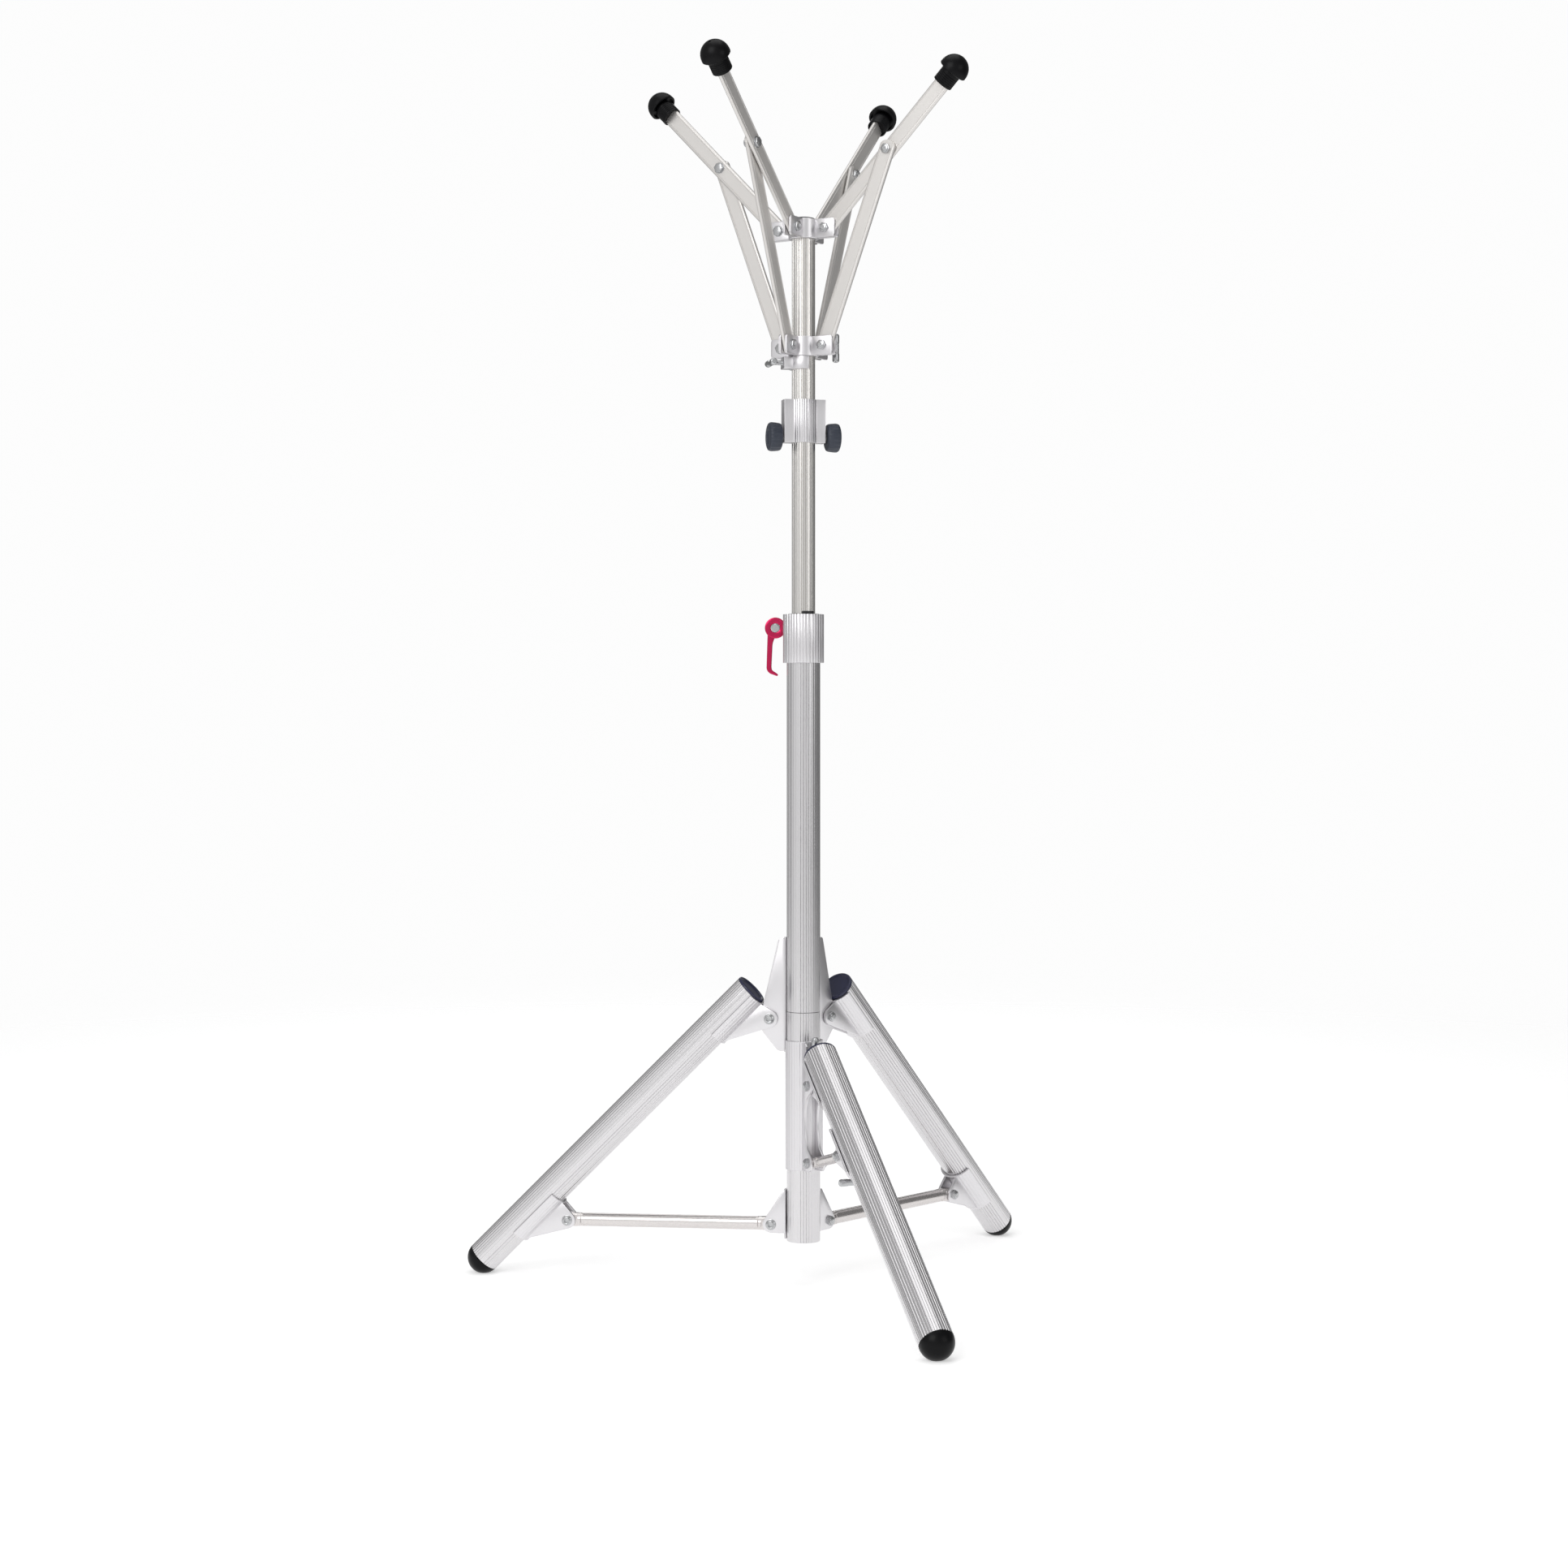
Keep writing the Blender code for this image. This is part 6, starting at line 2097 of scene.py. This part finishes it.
    def front_leg_brackets(self, shop: Workshop) -> None:
        """Tongue, sliding clamp and link of the front leg.

        Args:
            shop: takes the pieces.
        """
        leg = self.legs()[2]
        matrix = self.leg_frame(leg)
        high = leg.above
        upper = self.leg_saddle(
            matrix, self.offset, high - self.bracket, high - self.gap, (0, 0), tongue=True
        )
        name = "front_upper_bracket"
        shop.deliver(name + "_formed", upper, Finish.SATIN, "fore_leg", name)
        shift = self.offset - self.clamp_offset
        clamp = matrix @ Matrix.Translation((shift, 0, -self.clamp_point))
        top = self.margin + 4 * MM
        shape = self.leg_saddle(clamp, self.clamp_offset, top - self.bracket, top, (0, 0))
        shop.deliver("front_clamp_formed", shape, Finish.SATIN, "fore_clamp", "front_clamp")
        side = self.saddle.gap / 2 + self.saddle.plate
        ends = side_spots(clamp, -side, side)
        self.fasteners.place(shop, "front_clamp_head", Bolt.HEX, ends[:1], "fore_clamp")
        self.fasteners.place(shop, "front_clamp_nut", Bolt.NUT, ends[1:], "fore_clamp")
        inward = Matrix.Translation((self.clamp_offset, 0, -35 * MM))
        boss = clamp @ inward @ Matrix.Rotation(math.pi, 4, "Z")
        tee = self.screw.shape(boss, self.saddle.bore + self.gap, 42 * MM, math.radians(90))
        shop.deliver("front_clamp_tee_screw", tee, Finish.ZINC, "fore_lock", "front_clamp_screw")

        reach = Vector((leg.pivot_radius, 0, leg.pivot_height))
        reach += Vector((math.cos(leg.slope), 0, -math.sin(leg.slope))) * self.clamp_point
        reach += Vector((math.sin(leg.slope), 0, math.cos(leg.slope))) * shift
        dx, dz = reach.x - self.front_lower[0], reach.z - self.front_lower[1]
        link = frame_at(leg.azimuth, *self.front_lower, math.atan2(dx, dz))
        bar = self.strut(link, math.hypot(dx, dz), self.link_radius)
        shop.deliver("front_link_bar", bar, Finish.STRUT, "fore_link", "front_link")


# ----------------------------------------------------------------- studio


@dataclass
class Studio:
    """Pale floor, soft light and the camera.

    Attributes:
        floor: height of the floor.
        distance: camera's distance from the column.
        aside: how far the camera stands to the column's left.
        height: camera's height.
        heading: azimuth that it looks along.
        lens: focal length in millimetres.
        shift: vertical shift of the picture.
    """

    floor: float = -52 * MM
    distance: float = 3.286
    aside: float = 0.0233
    height: float = 0.6456
    heading: float = math.radians(70)
    lens: float = 63.07
    shift: float = -0.0532

    def build(self) -> None:
        """Make floor, world, lights and camera."""
        bpy.context.scene.view_settings.view_transform = "Standard"
        self.ground()
        self.world()
        self.lights()
        self.camera()

    def ground(self) -> None:
        """Large plain floor."""
        mesh = bpy.data.meshes.new("floor")
        half = 6.0
        corners = [(-half, -half), (half, -half), (half, half), (-half, half)]
        mesh.from_pydata([(x, y, self.floor - 0.0002) for x, y in corners], [], [(0, 1, 2, 3)])
        made = bpy.data.materials.new("pale_floor")
        made.use_nodes = True
        net = Net(made.node_tree)
        shader = made.node_tree.nodes["Principled BSDF"]
        shader.inputs["Base Color"].default_value = (0.9, 0.9, 0.9, 1)
        shader.inputs["Roughness"].default_value = 0.9
        shader.inputs["Emission Color"].default_value = (1, 1, 1, 1)
        shader.inputs["Emission Strength"].default_value = 0.45
        place = net.node("ShaderNodeTexCoord", {}, {})
        spot = place.outputs["Object"]
        away = net.node("ShaderNodeVectorMath", {"operation": "LENGTH"}, {0: spot})
        fade = net.node(
            "ShaderNodeMapRange",
            {"interpolation_type": "SMOOTHERSTEP"},
            {"Value": away.outputs["Value"], "From Min": 1.4, "From Max": 4.0},
        )
        clear = net.node("ShaderNodeBsdfTransparent", {}, {})
        blend = net.node(
            "ShaderNodeMixShader",
            {},
            {0: fade.outputs[0], 1: shader.outputs[0], 2: clear.outputs[0]},
        )
        end = made.node_tree.nodes["Material Output"]
        made.node_tree.links.new(blend.outputs[0], end.inputs["Surface"])
        mesh.materials.append(made)
        obj = bpy.data.objects.new("floor", mesh)
        bpy.context.scene.collection.objects.link(obj)
        obj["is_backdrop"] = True

    def world(self) -> None:
        """Pale surroundings, near white to the camera, that are darker away from one bright side.
        """
        world = bpy.data.worlds.new("studio")
        world.use_nodes = True
        net = Net(world.node_tree)
        background = world.node_tree.nodes["Background"]
        place = net.node("ShaderNodeTexCoord", {}, {})
        parts = net.node("ShaderNodeSeparateXYZ", {}, {0: place.outputs["Generated"]})
        bright = self.heading + math.pi - math.radians(30)
        side = net.out(parts, 0) * math.cos(bright) + net.out(parts, 1) * math.sin(bright)
        ramp = net.node(
            "ShaderNodeValToRGB",
            {"stops": ((0.0, 0.20), (0.25, 0.22), (0.50, 0.32), (0.72, 0.52), (0.9, 0.80))},
            {"Fac": side * 0.5 + 0.5},
        )
        seen = net.node("ShaderNodeLightPath", {}, {})
        mix = net.node(
            "ShaderNodeMix",
            {"data_type": "RGBA"},
            {0: seen.outputs["Is Camera Ray"], 6: ramp.outputs[0], 7: (0.98, 0.98, 0.98, 1)},
        )
        net.tree.links.new(mix.outputs[2], background.inputs["Color"])
        background.inputs["Strength"].default_value = 1.0
        bpy.context.scene.world = world

    def lights(self) -> None:
        """Large key from the front right, a fill from the left and a top light."""
        for name, turn, up, away, size, power in (
            ("key", -140.0, 2.6, 3.6, 2.4, 46.0),
            ("fill", -60.0, 1.6, 4.0, 2.0, 15.0),
            ("rim", 75.0, 2.4, 3.6, 2.0, 16.0),
            ("top", 0.0, 4.4, 0.01, 3.0, 34.0),
        ):
            data = bpy.data.lights.new(name, "AREA")
            data.size = size
            data.energy = power
            lamp = bpy.data.objects.new(name, data)
            angle = math.radians(turn)
            lamp.location = (away * math.cos(angle), away * math.sin(angle), up)
            aim = Vector((0, 0, 0.6)) - lamp.location
            lamp.rotation_euler = aim.to_track_quat("-Z", "Y").to_euler()
            bpy.context.scene.collection.objects.link(lamp)

    def camera(self) -> None:
        """Level camera with a vertical shift."""
        data = bpy.data.cameras.new("camera")
        data.lens = self.lens
        data.sensor_width = 36
        data.shift_y = self.shift
        camera = bpy.data.objects.new("camera", data)
        ahead = Vector((math.cos(self.heading), math.sin(self.heading), 0))
        right = Vector((ahead.y, -ahead.x, 0))
        place = Matrix((right, Vector((0, 0, 1)), -ahead)).transposed().to_4x4()
        place.translation = -ahead * self.distance - right * self.aside
        place.translation.z = self.height
        camera.matrix_world = place
        bpy.context.scene.collection.objects.link(camera)
        bpy.context.scene.camera = camera


def write_sizes(cad: Any, visual: Any) -> None:
    """Turn the CAD model's box and the visual model's box into plain lists; nothing is kept.

    Args:
        cad: corners of the first.
        visual: corners of the second.
    """
    plain = [[[float(v) for v in corner] for corner in box] for box in (cad, visual)]


def main() -> None:
    """Build every sub-assembly in order and report it."""
    logging.basicConfig(level=logging.INFO, format="%(message)s")
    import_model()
    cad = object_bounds()
    shop = Workshop()
    tubes = FlutedTube()
    fasteners = Fasteners()
    screw = TeeScrew()
    for part in (
        Column(tubes),
        HeightClamp(),
        Coupling(),
        Cradle(fasteners, screw),
        Tripod(tubes, fasteners, screw),
    ):
        part.build(shop)
        LOG.info("%s done", type(part).__name__)
    Studio().build()
    write_sizes(cad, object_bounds())


if __name__ == "__main__":
    main()
